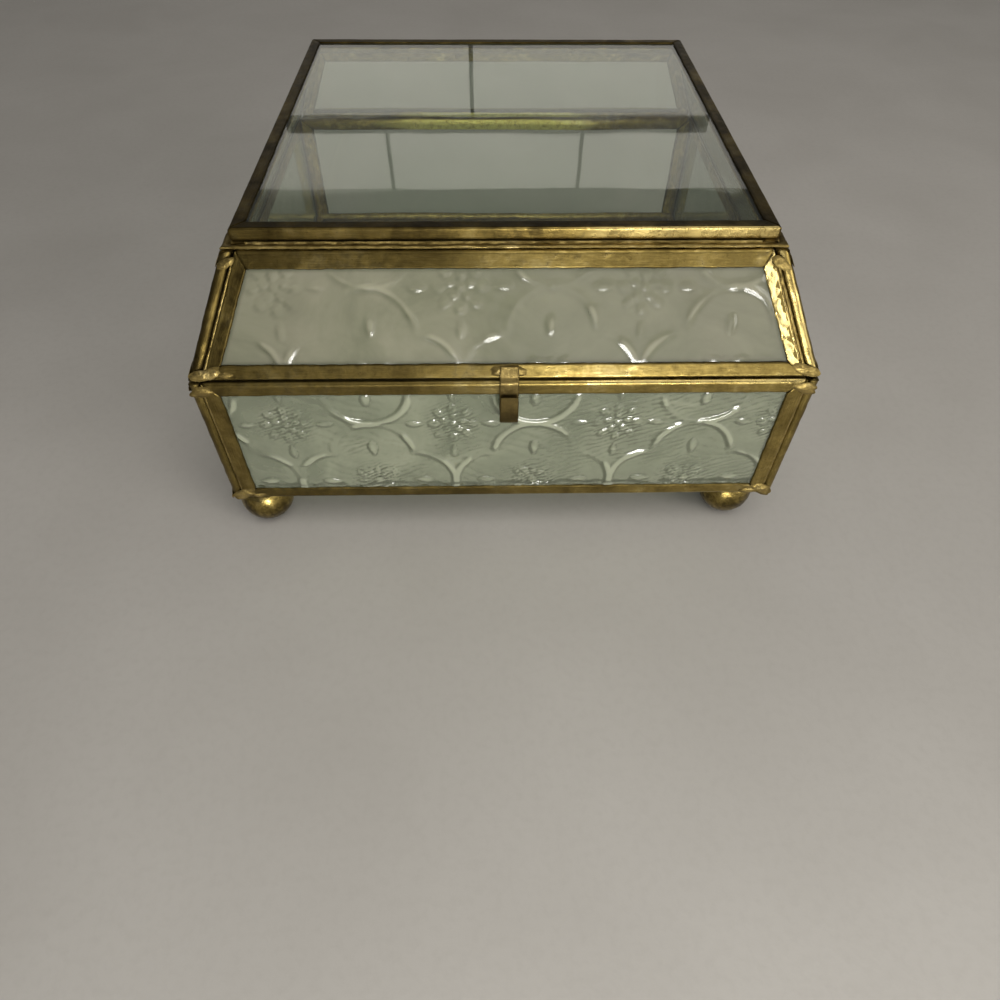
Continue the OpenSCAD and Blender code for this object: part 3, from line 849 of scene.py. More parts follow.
base_pane("base_front", 0, INNER_W, (7.6, 6.7), 1, M_FIGURED)
base_pane("base_right", 1, 2 * HALF, (-6.0, 17.5), 2, M_FIGURED)
base_pane("base_rear", 2, INNER_W, None, 3, M_CLEAR)
base_pane("base_left", 3, 2 * HALF, (13.0, 11.0), 4, M_FIGURED)
glass_pane("pane_base_bottom", level(-INNER_W / 2, BASE_Z + CAME_T), rect(INNER_W, INNER_W, 0.9), rect(INNER_W, INNER_W, FACE), None, 5, "base", M_CLEAR, step=1.6)


def lid_pane(name, i, w0, figure, seed, material):
    low, high = 2.55, SLANT - 0.9
    corners = [(-lid_x(w0, low, 0.9), low), (lid_x(w0, low, 0.9), low), (lid_x(w0, high, 0.9), high), (-lid_x(w0, high, 0.9), high)]
    _, inner = lid_outer(w0)
    glass_pane("pane_" + name, side(i, RIM_Z, SLOPE), corners, inner, figure, seed, "lid", material, step=0.8 if figure is None else 0.31, depth=0.74, wear_and_sheen=4)


lid_pane("lid_front", 0, BETWEEN, (10.6, 1.0), 6, M_FIGURED_LID)
lid_pane("lid_right", 1, PAST, (-11.0, 9.0), 7, M_FIGURED_LID)
lid_pane("lid_rear", 2, BETWEEN, None, 8, M_CLEAR)
lid_pane("lid_left", 3, PAST, (4.0, 13.0), 9, M_FIGURED_LID)
glass_pane("pane_lid_top", level(-TOP_W / 2, RIM_Z + LID_H), rect(TOP_W, TOP_W, 0.9), rect(TOP_W, TOP_W, TOP_FACE), None, 10, "lid", M_CLEAR, step=1.6)


# ---------------------------------------------------------------- solder
def rough_bar(shell, line, section, seed, amp=0.16, cell=1.5, step=0.8, closed=False, taper=0.0, to_world=world):
    """A closed section [k, 2] swept along line [n, 3] in the frames given by line's own rows (point, u, v)."""
    pts, us, vs = line
    n = len(pts)
    grid = pts[:, None, :] + us[:, None, :] * section[None, :, 0:1] + vs[:, None, :] * section[None, :, 1:2]
    if taper:
        f = np.linspace(0, 1, n)
        k = np.minimum(1, np.minimum(f, 1 - f) * n * step / taper + 0.35)[:, None, None]
        grid = pts[:, None, :] + (grid - pts[:, None, :]) * k
    centre = grid.mean(1, keepdims=True)
    nrm = normals_of(grid, True)
    if np.mean(np.sum(nrm * (grid - centre), -1)) < 0:
        nrm = -nrm
    d = fbm(grid[..., 0] / cell, grid[..., 1] / cell, grid[..., 2] / cell, seed, 3)
    grid = grid + nrm * (amp * (d - 0.5))[..., None]
    arc = np.cumsum(np.concatenate([[0], np.linalg.norm(np.diff(pts, axis=0), axis=1)]))
    grain = np.stack([arc[:, None] + 0 * d, np.arange(len(section))[None] * 0.4 + 0 * d, seed + 0 * d], -1)
    grime = np.clip(0.45 + 0.6 * d, 0, 1)
    shell.tube(to_world(grid), wrap_rows=closed, grain=grain, grime=grime)


def fillet_section(leg, hollow=0.30, n=7):
    """Concave fillet in the corner at (0, 0) between the walls u = 0 and v = 0."""
    t = np.linspace(0, 1, n)
    pull = hollow * leg * np.sin(t * math.pi)
    u = leg * (1 - t) - pull / math.sqrt(2) * 0.9
    v = leg * t - pull / math.sqrt(2) * 0.9
    walls = [(0.0, leg * 0.66), (0.0, leg * 0.33), (0.0, 0.0), (leg * 0.33, 0.0), (leg * 0.66, 0.0)]
    return np.array(list(zip(np.maximum(u, 0.0), np.maximum(v, 0.0))) + walls)


def straight(a, b, u, v, step=0.8):
    a, b = np.array(a, float), np.array(b, float)
    n = max(3, int(np.linalg.norm(b - a) / step) + 1)
    pts = a + (b - a) * np.linspace(0, 1, n)[:, None]
    return pts, np.broadcast_to(np.array(u, float), pts.shape), np.broadcast_to(np.array(v, float), pts.shape)


def square_loop(w, z, up, step=0.8):
    """Line round a square of half width w with mitred corners; u points inwards, v is up."""
    pts, us = [], []
    corners = [(-w, -w), (w, -w), (w, w), (-w, w)]
    inward = [(0, 1), (-1, 0), (0, -1), (1, 0)]
    n = max(6, int(2 * w / step))
    for k in range(4):
        a, b = np.array(corners[k], float), np.array(corners[(k + 1) % 4], float)
        prev = np.array(inward[k - 1], float)
        here = np.array(inward[k], float)
        for j in range(n):
            t = j / n
            pts.append((*(a + (b - a) * t), z))
            us.append((*(here + prev if j == 0 else here), 0.0))
    pts, us = np.array(pts), np.array(us)
    vs = np.broadcast_to(np.array(up, float), pts.shape)
    return pts, us, vs


def dome(shell, to_world, x, y, rx, ry, h, seed, lip=0.10, turn=0.0):
    """A set drop of solder on a face: a low uneven mound with a closed underside just below the face."""
    n_r, n_a = 22, 52
    ang = np.linspace(0, 2 * math.pi, n_a, endpoint=False)
    rad = np.linspace(0.10, 1.0, n_r)
    edge = 1 + 0.30 * noise(np.cos(ang) * 1.3 + 2, np.sin(ang) * 1.3, seed * 0.37, 701) + 0.06 * noise(np.cos(ang) * 3, np.sin(ang) * 3, seed * 0.37, 702)
    u = rad[:, None] * (rx * edge * np.cos(ang))[None]
    v = rad[:, None] * (ry * edge * np.sin(ang))[None]
    px = x + u * math.cos(turn) - v * math.sin(turn)
    py = y + u * math.sin(turn) + v * math.cos(turn)
    top = h * np.clip(1 - rad[:, None] ** 2, 0, 1) ** 1.1 * (1 + 0.45 * noise(px / 1.3, py / 1.3, seed, 703) + 0.16 * noise(px / 0.55, py / 0.55, seed, 704)) - lip
    top_g = np.stack([px, py, np.maximum(top, -lip * 0.6)], -1)
    low = np.stack([px[-1:], py[-1:], 0 * px[-1:] - lip - 0.04], -1)
    low2 = np.stack([x + (px[-1:] - x) * 0.4, y + (py[-1:] - y) * 0.4, 0 * px[-1:] - lip - 0.04], -1)
    grid = np.concatenate([low2, low, top_g[::-1]], 0)
    d = fbm(grid[..., 0], grid[..., 1], grid[..., 2], seed + 2, 2)
    shell.tube(to_world(grid), grain=np.stack([grid[..., 0], grid[..., 1], 0 * d + seed], -1),
               grime=np.clip(0.1 + 0.8 * smooth(0.5 * h, 0.0, grid[..., 2]) + 0.3 * d, 0, 1))


sh = Shell()
w = INNER_W / 2
# drops where the frames meet at the corners of the front, rear and left sides
front, rear, left = (side(i, BASE_Z, 90) for i in (0, 2, 3))
for k, (f, x, y, rx, ry, h, turn) in enumerate((
    (front, -72.6, 1.9, 2.9, 1.7, 0.75, 0.5), (front, 72.4, 2.0, 3.0, 1.8, 0.8, -0.5), (front, -73.0, 38.9, 2.4, 1.6, 0.55, 0.3),
    (front, 72.9, 38.8, 2.6, 1.7, 0.65, -0.2), (front, 69.0, 1.4, 2.2, 1.1, 0.5, 0.1), (front, -68.6, 1.3, 1.9, 1.0, 0.45, 0.0),
    (rear, -72.6, 2.0, 2.8, 1.7, 0.75, 0.4), (rear, 72.6, 1.9, 2.8, 1.7, 0.7, -0.4), (rear, -73.1, 38.8, 2.3, 1.6, 0.55, 0.2), (rear, 73.0, 38.8, 2.4, 1.6, 0.55, 0.1),
    (left, -73.2, 2.0, 2.3, 1.6, 0.6, 0.3), (left, 73.2, 2.0, 2.3, 1.6, 0.6, -0.3), (left, 73.2, 39.0, 2.0, 1.5, 0.45, 0.2), (left, -73.2, 39.0, 2.0, 1.5, 0.45, 0.2),
)):
    dome(sh, f, x, y, 1.25 * rx, 0.9 * ry, 0.52 * h, 711 + k, lip=0.06, turn=turn)
for k, (sx, sy) in enumerate(((-1, -1), (1, -1), (1, 1), (-1, 1))):
    rough_bar(sh, straight((sx * w, sy * w, BASE_Z + CAME_T + 1.6), (sx * w, sy * w, RIM_Z - 2.0), (-sx, 0, 0), (0, -sy, 0)),
              fillet_section(1.75), 401 + k, amp=0.18, taper=2.0)
# the seams between the frames, run nearly full
bead = lambda q: np.array([(q * math.cos(t), q * math.sin(t)) for t in np.linspace(0, 2 * math.pi, 12, endpoint=False)])
for i in (0, 2):
    for j, sx in enumerate((-1, 1)):
        rough_bar(sh, straight((sx * INNER_W / 2, 1.0, -0.62), (sx * INNER_W / 2, BASE_H - 1.0, -0.62), (1, 0, 0), (0, 0, 1), step=0.5),
                  bead(0.46), 461 + 3 * i + j, amp=0.16, cell=0.9, step=0.5, taper=1.0, to_world=side(i, BASE_Z, 90))
sh.object("solder_base_corners", M_SOLDER, "base", ["base_corner_solder"])

sh = Shell()
rough_bar(sh, square_loop(w, BASE_Z + CAME_T, (0, 0, 1)), fillet_section(1.7), 411, amp=0.2, closed=True)
sh.object("solder_base_bottom", M_SOLDER, "base", ["base_bottom_solder"])

sh = Shell()
win = lambda h: HALF - CAME_T / SIN - h * LEAN / SIN
for i, drops in (
    (0, ((-70.9, 2.5, 3.1, 1.5, 0.65, 0.15), (71.6, 2.6, 2.9, 1.6, 0.8, -0.3), (-62.4, 27.2, 1.9, 1.3, 0.45, 0.5), (61.6, 27.0, 2.2, 1.5, 0.6, -0.5), (-66.6, 2.2, 1.6, 0.9, 0.35, 0.0))),
    (1, ((-71.2, 2.5, 2.4, 1.4, 0.5, 0.2), (71.2, 2.5, 2.4, 1.4, 0.5, -0.2), (-62.0, 27.0, 1.9, 1.3, 0.4, 0.4), (62.0, 27.0, 1.9, 1.3, 0.4, -0.4))),
    (2, ((-71.0, 2.5, 2.6, 1.5, 0.6, 0.2), (71.0, 2.5, 2.6, 1.5, 0.6, -0.2), (-62.0, 27.0, 2.0, 1.3, 0.5, 0.4), (62.0, 27.0, 2.0, 1.3, 0.5, -0.4))),
    (3, ((-71.2, 2.5, 2.4, 1.4, 0.5, 0.2), (71.2, 2.5, 2.4, 1.4, 0.5, -0.2), (-62.0, 27.0, 1.9, 1.3, 0.4, 0.4), (62.0, 27.0, 1.9, 1.3, 0.4, -0.4))),
):
    for k, (x, y, rx, ry, h, turn) in enumerate(drops):
        dome(sh, side(i, RIM_Z, SLOPE), x, y, 1.2 * rx, 0.9 * ry, 0.5 * h, 741 + 7 * i + k, lip=0.06, turn=turn)
for k, (sx, sy) in enumerate(((-1, -1), (1, -1), (1, 1), (-1, 1))):
    lo, hi = 4.0, WALL_H - SEAM - 1.6
    rough_bar(sh, straight((sx * win(lo), sy * win(lo), RIM_Z + lo), (sx * win(hi), sy * win(hi), RIM_Z + hi), (-sx, 0, 0), (0, -sy, 0)),
              fillet_section(2.2), 421 + k, amp=0.2, taper=2.0)
for i in (0, 2):
    for j, sx in enumerate((-1, 1)):
        lo, hi = 1.2, SLANT - 2.2
        rough_bar(sh, straight((sx * lid_x(BETWEEN, lo, 0.0), lo, -0.50), (sx * lid_x(BETWEEN, hi, 0.0), hi, -0.50), (1, 0, 0), (0, 0, 1), step=0.5),
                  bead(0.50), 471 + 3 * i + j, amp=0.18, cell=0.9, step=0.5, taper=1.0, to_world=side(i, RIM_Z, SLOPE))
sh.object("solder_lid_hips", M_SOLDER, "lid", ["lid_hip_solder"])

sh = Shell()
wout = lambda h: HALF - h * LEAN / SIN
ring = [
    (wout(27.1) - 0.75, 27.06), (wout(27.1) - 0.42, 27.22), (wout(27.4) - 0.12, 27.45), (wout(27.7) - 0.10, 27.72), (wout(28.0) - 0.28, 27.94),
    (62.35, 28.02), (61.95, 27.9), (61.6, 27.66), (61.3, 27.5), (61.02, 27.6), (60.8, 27.93), (59.4, 27.97), (58.2, 27.97),
    (57.75, 27.6), (57.95, 26.9), (58.55, 26.2), (59.4, 25.7), (win(25.5) + 0.04, 25.5), (win(26.3) + 0.04, 26.3), (win(27.0) + 0.04, 27.04), (61.4, 27.04),
]
dense = []
for k in range(len(ring)):
    p0, p1 = np.array(ring[k]), np.array(ring[(k + 1) % len(ring)])
    m = max(1, int(np.linalg.norm(p1 - p0) / 0.33))
    dense += [p0 + (p1 - p0) * j / m for j in range(m)]
ring = np.array(dense)
ring = np.stack([62.0 - ring[:, 0], ring[:, 1] - 27.0], -1)
rough_bar(sh, square_loop(62.0, RIM_Z + 27.0, (0, 0, 1), step=0.7), ring, 431, amp=0.22, cell=1.3, closed=True, step=0.7)
sh.object("solder_lid_top", M_SOLDER, "lid", ["lid_top_solder"])


# ---------------------------------------------------------------- feet
def lathe(shell, centre, profile, seed, around=72, amp=0.05, cell=2.0, squash=None, grime=None, mask=None):
    """profile: rows of (radius, z) from the bottom centre to the top centre; both ends close on the axis."""
    prof = np.array(profile, float)
    a = np.linspace(0, 2 * math.pi, around, endpoint=False)
    r, z = prof[:, 0][:, None], prof[:, 1][:, None]
    x, y = r * np.cos(a)[None], r * np.sin(a)[None]
    zz = z + 0 * x
    d = 0.5 - 0.5 * fbm((x + centre[0]) / cell, (y + centre[1]) / cell, zz / cell, seed, 3)
    k = np.ones_like(x) if mask is None else mask(r + 0 * x, zz)
    scale = 1 - amp * d * k / np.maximum(r, 1.0)
    grid = np.stack([x * scale + centre[0], y * scale + centre[1], zz], -1)
    if squash is not None:
        grid = squash(grid)
    rows, cols, _ = grid.shape
    idx = np.arange(rows * cols).reshape(rows, cols)
    nxt = np.roll(idx, -1, 1)
    quads = np.stack([idx[:-1], nxt[:-1], nxt[1:], idx[1:]], -1).reshape(-1, 4).tolist()
    bottom, top = rows * cols, rows * cols + 1
    pts = np.concatenate([grid.reshape(-1, 3), [grid[0].mean(0)], [grid[-1].mean(0)]])
    quads += [[bottom, int(idx[0, (j + 1) % cols]), int(idx[0, j])] for j in range(cols)]
    quads += [[top, int(idx[-1, j]), int(idx[-1, (j + 1) % cols])] for j in range(cols)]
    g = np.stack([a[None] * 7 + 0 * x, np.cumsum(np.ones_like(x), 0) * 0.3, seed + 0 * x], -1).reshape(-1, 3)
    g = np.concatenate([g, [[0, 0, seed]], [[0, 0, seed]]])
    gr = (np.zeros_like(x) if grime is None else grime(x, y, zz)).reshape(-1)
    gr = np.concatenate([gr, [0.3, 0.3]])
    shell.add(pts, quads, g, np.clip(gr, 0, 1))


def ball_profile():
    lo = math.asin(2.2 / FOOT_R)
    rows = [(0.8, 0.0), (1.7, 0.0), (2.2, 0.0)]
    for k in range(1, 60):
        a = lo + (math.pi - 2 * lo) * k / 60
        rows.append((FOOT_R * math.sin(a), FOOT_ZC - FOOT_R * math.cos(a)))
    rows += [(2.2, BASE_Z), (1.2, BASE_Z), (0.6, BASE_Z)]
    return rows


for k, (name, (fx, fy)) in enumerate(FEET.items()):
    sh = Shell()
    lathe(
        sh, (fx, fy), ball_profile(), 501 + k, amp=0.16, cell=3.6,
        mask=lambda r, z: smooth(0.0, 1.2, z) * smooth(BASE_Z, BASE_Z - 1.2, z),
        # darker at the top under the base and at the floor contact (painted shade), and along a seam round the middle
        grime=lambda x, y, z: smooth(BASE_Z - 4.6, BASE_Z - 1.0, z) + 0.8 * np.exp(-(((z - FOOT_ZC - 0.15) / 0.16) ** 2)) + smooth(1.4, 0.0, z),
    )
    sh.object("ball_foot_" + name, M_FOOT, "base", ["foot_" + name])

# the collars: a skirt of solder from each ball to the underside, heaped towards the corner
sh = Shell()
for k, (name, (fx, fy)) in enumerate(FEET.items()):
    cx, cy = math.copysign(1, fx), math.copysign(1, fy)
    rows = []
    top = BASE_Z
    for j, (r, z) in enumerate(((1.0, top - 0.02), (3.0, top - 0.02), (5.4, top - 0.02), (6.1, top - 0.12), (6.2, top - 0.45), (5.9, top - 0.85), (5.55, top - 1.3), (5.3, top - 1.8), (5.2, top - 2.3), (4.7, top - 2.4), (3.2, top - 2.3), (1.2, top - 2.2))):
        rows.append((r, z))
    rows = rows[::-1]

    def lean_out(grid, fx=fx, fy=fy, cx=cx, cy=cy, k=k):
        dx, dy = grid[..., 0] - fx, grid[..., 1] - fy
        r = np.hypot(dx, dy) + 1e-9
        to_corner = (dx * cx + dy * cy) / r / math.sqrt(2)
        drop = smooth(BASE_Z - 2.6, BASE_Z - 0.3, grid[..., 2])
        reach = 1 + 0.24 * np.clip(to_corner, 0, 1) ** 2 * drop * smooth(2.0, 5.0, r)
        wob = 1 + 0.10 * fbm(grid[..., 0] / 3.1, grid[..., 1] / 3.1, grid[..., 2] / 2.0, 520 + k, 2) * smooth(2.0, 4.5, r)
        limit = HALF - 0.3
        gx = np.clip(fx + dx * reach * wob, -limit, limit)
        gy = np.clip(fy + dy * reach * wob, -limit, limit)
        return np.stack([gx, gy, grid[..., 2]], -1)

    lathe(sh, (fx, fy), rows, 531 + k, amp=0.25, cell=1.3, squash=lean_out, grime=lambda x, y, z: 0.35 + 0 * x)
sh.object("solder_feet", M_SOLDER, "base", ["foot_solder"])


# ---------------------------------------------------------------- hinge
def hinge_tube(shell, c, length, seed):
    """Rolled tube with a bore, rounded ends and a closed seam on its underside."""
    ro, ri, e = 2.1, 0.85, 0.28
    n = max(10, int(length / 0.8))
    xs = np.linspace(-length / 2 + e, length / 2 - e, n)
    rings = [(-length / 2 + 0.02, ri + 0.12), (-length / 2, ri + 0.35), (-length / 2, ro - e)]
    rings += [(-length / 2 + e - e * math.cos(a), ro - e + e * math.sin(a)) for a in (0.4, 0.8, 1.2)]
    rings += [(x, ro) for x in xs]
    rings += [(length / 2 - e + e * math.cos(a), ro - e + e * math.sin(a)) for a in (1.2, 0.8, 0.4)]
    rings += [(length / 2, ro - e), (length / 2, ri + 0.35), (length / 2 - 0.02, ri + 0.12), (length / 2 - 0.25, ri)]
    rings += [(x, ri) for x in xs[::-4]] + [(-length / 2 + 0.25, ri)]
    rings = np.array(rings)
    a = np.linspace(0, 2 * math.pi, 48, endpoint=False)
    x = rings[:, 0][:, None] + 0 * a[None]
    r = rings[:, 1][:, None] + 0 * a[None]
    outer_skin = smooth(ro - 0.6, ro - 0.2, r)
    seam = np.exp(-((((a[None] + math.pi * 0.5 + math.pi) % (2 * math.pi) - math.pi) * ro / 0.14) ** 2))
    d = 0.5 - 0.5 * fbm(x / 2.6, np.cos(a)[None] * 1.2, np.sin(a)[None] * 1.2, seed, 3)
    r = r - outer_skin * (0.05 * d + 0.10 * seam)
    grid = np.stack([x + c, AXIS_Y + r * np.cos(a)[None], AXIS_Z + r * np.sin(a)[None]], -1)
    grain = np.stack([x, a[None] * ro + 0 * x, seed + 0 * x], -1)
    # darker along the seam (a dark joint), and in the bore and at the ends (painted shade)
    grime = np.clip(seam * outer_skin + np.exp(-(((length / 2 - np.abs(x)) / 0.3) ** 2)) * 0.9 + (1 - outer_skin) * 0.8, 0, 1)
    shell.tube(grid, wrap_rows=True, grain=grain, grime=grime)


MID, END = 86.0, 21.0
END_C = MID / 2 + 0.4 + END / 2
PIN = MID / 2 + 0.4 + END
sh = Shell()
hinge_tube(sh, 0, MID, 601)
sh.object("hinge_tube_lid", M_HINGE, "lid", ["hinge_lid_tube"])
sh = Shell()
hinge_tube(sh, -END_C, END, 602)
hinge_tube(sh, END_C, END, 603)
sh.object("hinge_tubes_base", M_HINGE, "base", ["hinge_base_tubes"])

# the pin: bent-looking wire is straight inside the tubes, its ends are upset into small domed heads
sh = Shell()
rings = []
for x, r in ((-PIN - 0.8, 0.5), (-PIN - 0.78, 0.95), (-PIN - 0.62, 1.32), (-PIN - 0.4, 1.48), (-PIN - 0.15, 1.42), (-PIN - 0.02, 1.2), (-PIN, 0.82)):
    rings.append((x, r))
for x in np.linspace(-PIN + 0.5, PIN - 0.5, 90):
    rings.append((x, 0.8))
for x, r in ((PIN, 0.82), (PIN + 0.02, 1.2), (PIN + 0.15, 1.42), (PIN + 0.4, 1.48), (PIN + 0.62, 1.32), (PIN + 0.78, 0.95), (PIN + 0.8, 0.5)):
    rings.append((x, r))
rings = np.array(rings)
a = np.linspace(0, 2 * math.pi, 32, endpoint=False)
x = rings[:, 0][:, None] + 0 * a[None]
r = rings[:, 1][:, None] + 0 * a[None]
head = smooth(PIN - 0.1, PIN + 0.05, np.abs(x))
r = r * (1 - 0.10 * head * (0.5 + 0.5 * fbm(x / 0.7, np.cos(a)[None] * 1.3, np.sin(a)[None] * 1.3, 611, 2)))
grid = np.stack([x, AXIS_Y + r * np.cos(a)[None], AXIS_Z + r * np.sin(a)[None]], -1)
sh.tube(grid, grain=np.stack([x, a[None] + 0 * x, 0 * x + 3], -1), grime=0.3 + 0 * x)
sh.object("hinge_wire_pin", M_WIRE, "base", ["hinge_pin"])


def arc_against_tube(n, a0, a1, r=2.1):
    t = np.linspace(a0, a1, n)
    return [(AXIS_Y + r * math.cos(v), AXIS_Z + r * math.sin(v)) for v in t]


def yz_bar(shell, section, x0, x1, seed, amp, step=0.7):
    """A closed section of (y, z) points drawn from x0 to x1 and roughened."""
    sec = np.array(section, float)
    dense = []
    for k in range(len(sec)):
        p, q = sec[k], sec[(k + 1) % len(sec)]
        m = max(1, int(np.linalg.norm(q - p) / 0.35))
        for j in range(m):
            dense.append(p + (q - p) * j / m)
    sec = np.array(dense)
    n = int(abs(x1 - x0) / step)
    f = np.linspace(0, 1, n)
    xs = x0 + (x1 - x0) * f
    c = sec.mean(0)
    squeeze = np.minimum(1, np.minimum(f, 1 - f) * abs(x1 - x0) / 1.1 * 0.55 + 0.45)
    grid = np.stack([
        xs[:, None] + 0 * sec[None, :, 0],
        c[0] + (sec[None, :, 0] - c[0]) * squeeze[:, None],
        c[1] + (sec[None, :, 1] - c[1]) * squeeze[:, None],
    ], -1)
    nrm = normals_of(grid, True)
    if np.mean(np.sum(nrm * (grid - grid.mean(1, keepdims=True)), -1)) < 0:
        nrm = -nrm
    d = fbm(grid[..., 0] / 1.6, grid[..., 1] / 1.1, grid[..., 2] / 1.1, seed, 3)
    grid = grid + nrm * (amp * (d - 0.35))[..., None]
    shell.tube(grid, grain=np.stack([xs[:, None] + 0 * d, 0 * d, seed + 0 * d], -1), grime=np.clip(0.4 + 0.6 * d, 0, 1))


sh = Shell()
for s in (-1, 1):
    # between the end tube and the rear wall, in the notch under the tube
    sec = [(HALF + 0.06, RIM_Z - 3.0), (HALF + 0.06, RIM_Z - 0.75)] + arc_against_tube(7, math.radians(200), math.radians(252), 2.05) + [(HALF + 1.25, RIM_Z - 2.5), (HALF + 0.6, RIM_Z - 2.95)]
    yz_bar(sh, sec, s * END_C - (END - 1) / 2, s * END_C + (END - 1) / 2, 621 + s, 0.12)
sh.object("solder_hinge_base", M_SOLDER, "base", ["hinge_base_solder"])

sh = Shell()
y_at = lambda h: HALF - h * LEAN / SIN
sec = [(y_at(0.95) + 0.05, RIM_Z + 0.95)] + [(AXIS_Y + 2.05 * math.cos(v), AXIS_Z + 2.05 * math.sin(v)) for v in np.linspace(math.radians(158), math.radians(112), 7)] + [(AXIS_Y - 1.6, RIM_Z + 2.75), (y_at(3.05) + 0.6, RIM_Z + 3.05), (y_at(3.05) + 0.05, RIM_Z + 3.05), (y_at(2.0) + 0.05, RIM_Z + 2.0)]
yz_bar(sh, sec, -(MID - 2) / 2, (MID - 2) / 2, 631, 0.12)
sh.object("solder_hinge_lid", M_SOLDER, "lid", ["hinge_lid_solder"])


# ---------------------------------------------------------------- thumb tab
def spline(points, n):
    p = np.array(points, float)
    out = []
    for k in range(len(p) - 1):
        p0, p1, p2, p3 = p[max(k - 1, 0)], p[k], p[k + 1], p[min(k + 2, len(p) - 1)]
        for t in np.linspace(0, 1, n, endpoint=False):
            out.append(0.5 * (2 * p1 + (p2 - p0) * t + (2 * p0 - 5 * p1 + 4 * p2 - p3) * t * t + (3 * p1 - p0 - 3 * p2 + p3) * t ** 3))
    out.append(p[-1])
    return np.array(out)


fold = [(-HALF - 1.8 + 1.1 * math.cos(math.radians(v)), -9.4 + 1.1 * math.sin(math.radians(v))) for v in range(0, -181, -20)]
line = [(-HALF + v * LEAN - 0.42 * SIN, v * SIN + 0.42 * LEAN) for v in (3.9, 2.3, 1.0)]
line += [(-HALF - 0.62, 0.3), (-HALF - 0.7, -0.8), (-HALF - 0.7, -3.4), (-HALF - 0.7, -6.8)] + fold
line += [(-HALF - 3.1, -7.9), (-HALF - 3.15, -6.5), (-HALF - 2.95, -5.1), (-HALF - 2.55, -3.9), (-HALF - 2.1, -3.0)]
path = spline(line, 5)
arc = np.cumsum(np.concatenate([[0], np.linalg.norm(np.diff(path, axis=0), axis=1)]))
steps = np.linspace(0, arc[-1], int(arc[-1] / 0.28))
path = np.stack([np.interp(steps, arc, path[:, 0]), np.interp(steps, arc, path[:, 1])], -1)
tang = np.gradient(path, axis=0)
tang /= np.linalg.norm(tang, axis=1, keepdims=True)
perp = np.stack([-tang[:, 1], tang[:, 0]], -1)
hw, ht, rr = 2.3, 0.4, 0.26
sec = []
for k in range(13):
    sec.append((-hw + rr + (2 * hw - 2 * rr) * k / 12, ht))
for cx, cz, a0 in ((hw - rr, ht - rr, 90), (hw - rr, -ht + rr, 0)):
    for j in (1, 2, 3) if a0 == 90 else (0, 1, 2):
        v = math.radians(a0 - 30 * j)
        sec.append((cx + rr * math.cos(v), cz + rr * math.sin(v)))
for k in range(13):
    sec.append((hw - rr - (2 * hw - 2 * rr) * k / 12, -ht))
for cx, cz, a0 in ((-hw + rr, -ht + rr, 270), (-hw + rr, ht - rr, 180)):
    for j in (1, 2, 3) if a0 == 270 else (0, 1, 2):
        v = math.radians(a0 - 30 * j)
        sec.append((cx + rr * math.cos(v), cz + rr * math.sin(v)))
sec = np.array(sec)
edge_wave = 1 + 0.035 * noise(steps / 1.9, 0.3, 0, 641) - 0.05 * smooth(steps[-1] - 1.5, steps[-1], steps)
across = sec[None, :, 0] * edge_wave[:, None]
thick = sec[None, :, 1] + 0 * across
bow = 0.05 * noise(across / 2.0, steps[:, None] / 2.4, 0, 643) - 0.04
offs = thick + bow
grid = np.stack([0.7 + across, path[:, None, 0] + perp[:, None, 0] * offs, RIM_Z + path[:, None, 1] + perp[:, None, 1] * offs], -1)
for end, sgn in ((0, 1), (-1, -1)):
    pass
sh = Shell()
grain = np.stack([steps[:, None] + 0 * across, across, 0 * across + 5], -1)
# darker towards the folded end and along both edges
tab_grime = 0.25 + 0.75 * smooth(11.5, 19.0, steps[:, None]) + 0.5 * np.exp(-(((np.abs(across) - hw) / 0.25) ** 2)) * 0.6
sh.tube(grid, grain=grain, grime=np.clip(tab_grime, 0, 1))
sh.object("thumb_tab", M_TAB, "lid", ["lid_tab"])

# the drop of solder over the tab's root
sh = Shell()
dome(sh, side(0, RIM_Z, SLOPE), 1.0, 2.4, 4.3, 2.0, 1.05, 651, lip=0.10)
sh.object("solder_tab_drop", M_SOLDER, "lid", ["lid_tab_solder"])


# ---------------------------------------------------------------- floor, light, camera
fl = bpy.data.meshes.new("floor")
s = 4.0
fl.from_pydata([(-s, -s, -0.00002), (s, -s, -0.00002), (s, s, -0.00002), (-s, s, -0.00002)], [], [(0, 1, 2, 3)])
floor = bpy.data.objects.new("floor", fl)
bpy.context.scene.collection.objects.link(floor)
m = Nodes("floor_paint")
ob = m.obj()
mott = m.noise(ob, 14.0, 5.0, 0.55, 0.3)
grit = m.noise(ob, 420.0, 3.0, 0.6)
col = m.mix(m.range(mott, 0.3, 0.7, 0.0, 1.0), (0.60, 0.575, 0.54), (0.66, 0.635, 0.60))
col = m.mix(m.range(grit, 0.45, 0.75, 0.0, 0.16), col, (0.48, 0.455, 0.42))
p = m.n("ShaderNodeBsdfPrincipled")
m.l(col, p.inputs["Base Color"])
p.inputs["Roughness"].default_value = 0.62
m.l(m.bump(grit, 0.10, 0.0003), p.inputs["Normal"])
m.l(p.outputs["BSDF"], m.out.inputs["Surface"])
fl.materials.append(m.mat)


def panel(name, at, aim, w, h, radiance, color):
    """A rectangular soft light. Its energy is set from how bright its face is."""
    li = bpy.data.lights.new(name, "AREA")
    li.shape = "RECTANGLE"
    li.size, li.size_y = w, h
    li.energy = radiance * math.pi * w * h
    li.color = color
    o = bpy.data.objects.new(name, li)
    bpy.context.scene.collection.objects.link(o)
    o.location = at
    o.rotation_euler = (Vector(aim) - Vector(at)).to_track_quat("-Z", "Y").to_euler()
    return o


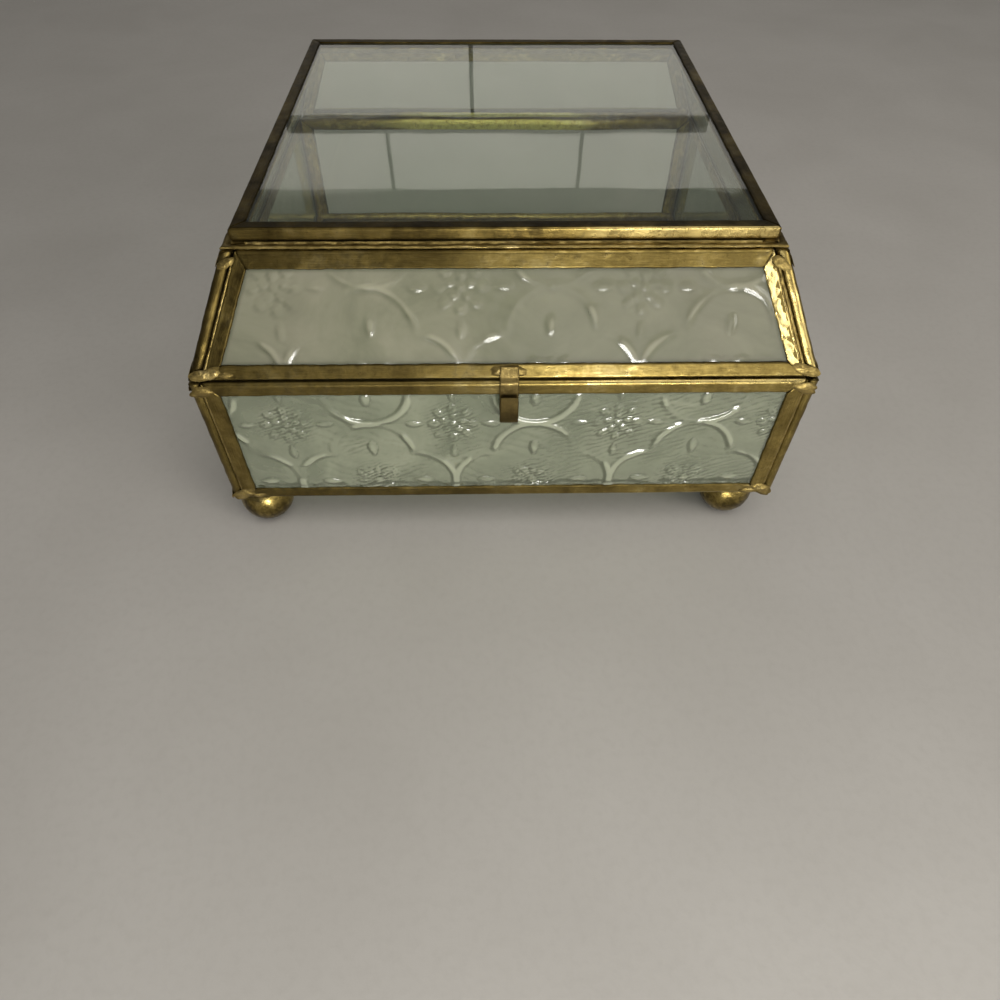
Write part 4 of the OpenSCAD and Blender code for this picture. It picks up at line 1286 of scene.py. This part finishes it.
WARM = (1.0, 0.965, 0.905)
panel("light_overhead", (0.14, -0.54, 1.14), (0, -0.14, 0.0), 1.00, 0.70, 2.3, WARM)
panel("light_window", (0.76, -0.64, 0.36), (0, -0.03, 0.05), 0.56, 0.42, 4.0, (1.0, 0.96, 0.88))
panel("light_front", (0.40, -1.55, 0.44), (0, -0.05, 0.06), 0.72, 0.30, 0.9, (1.0, 0.92, 0.86))
panel("light_low", (0.10, -1.10, 0.050), (0, -0.08, 0.05), 0.50, 0.06, 7.0, (1.0, 0.975, 0.92))
panel("light_near", (0.05, -0.40, 0.040), (0, -0.08, 0.034), 0.20, 0.050, 20.0, (1.0, 0.985, 0.94))
# a bank of dim soft panels behind, which the top pane mirrors
for k, (x0, x1, z0, z1) in enumerate((
    (-0.520, -0.031, 0.395, 0.588), (-0.023, 0.560, 0.395, 0.588),
    (-0.610, -0.400, 0.588, 0.622), (0.450, 0.660, 0.588, 0.622),
    (-0.640, -0.203, 0.622, 0.737), (-0.195, 0.193, 0.622, 0.737), (0.201, 0.700, 0.622, 0.737),
)):
    panel("light_back_%d" % (k + 1), ((x0 + x1) / 2, 1.3, (z0 + z1) / 2), ((x0 + x1) / 2, 0.3, (z0 + z1) / 2), x1 - x0, z1 - z0, 0.64, (1.0, 0.96, 0.86))

wd = bpy.data.worlds.new("studio")
bpy.context.scene.world = wd
wd.use_nodes = True
bg = wd.node_tree.nodes["Background"]
bg.inputs["Color"].default_value = (1.0, 0.985, 0.96, 1.0)
bg.inputs["Strength"].default_value = 0.085
bpy.context.scene.view_settings.view_transform = "Standard"
bpy.context.scene.view_settings.look = "None"

cam_data = bpy.data.cameras.new("camera")
cam = bpy.data.objects.new("camera", cam_data)
bpy.context.scene.collection.objects.link(cam)
cam_data.sensor_width = 36.0
cam_data.lens = 712.0 / 1000 * 36.0
cam_data.clip_start = 0.01
cam_data.clip_end = 20.0
pitch, yaw, roll = (math.radians(v) for v in (49.46, 1.60, 0.63))
F = Vector((math.sin(yaw) * math.cos(pitch), math.cos(yaw) * math.cos(pitch), -math.sin(pitch)))
R = Vector((math.cos(yaw), -math.sin(yaw), 0))
U = R.cross(F)
R2 = R * math.cos(roll) + U * math.sin(roll)
U2 = -R * math.sin(roll) + U * math.cos(roll)
mw = Matrix.Identity(4)
for r_i in range(3):
    mw[r_i][0], mw[r_i][1], mw[r_i][2] = R2[r_i], U2[r_i], -F[r_i]
mw[0][3], mw[1][3], mw[2][3] = -0.00488, -0.20772, 0.16708
cam.matrix_world = mw
bpy.context.scene.camera = cam

cy = bpy.context.scene.cycles
cy.use_denoising = True
cy.max_bounces = 24
cy.transmission_bounces = 24
cy.glossy_bounces = 8
cy.transparent_max_bounces = 24
cy.caustics_reflective = False
cy.caustics_refractive = True
cy.blur_glossy = 0.5
cy.sample_clamp_indirect = 6.0
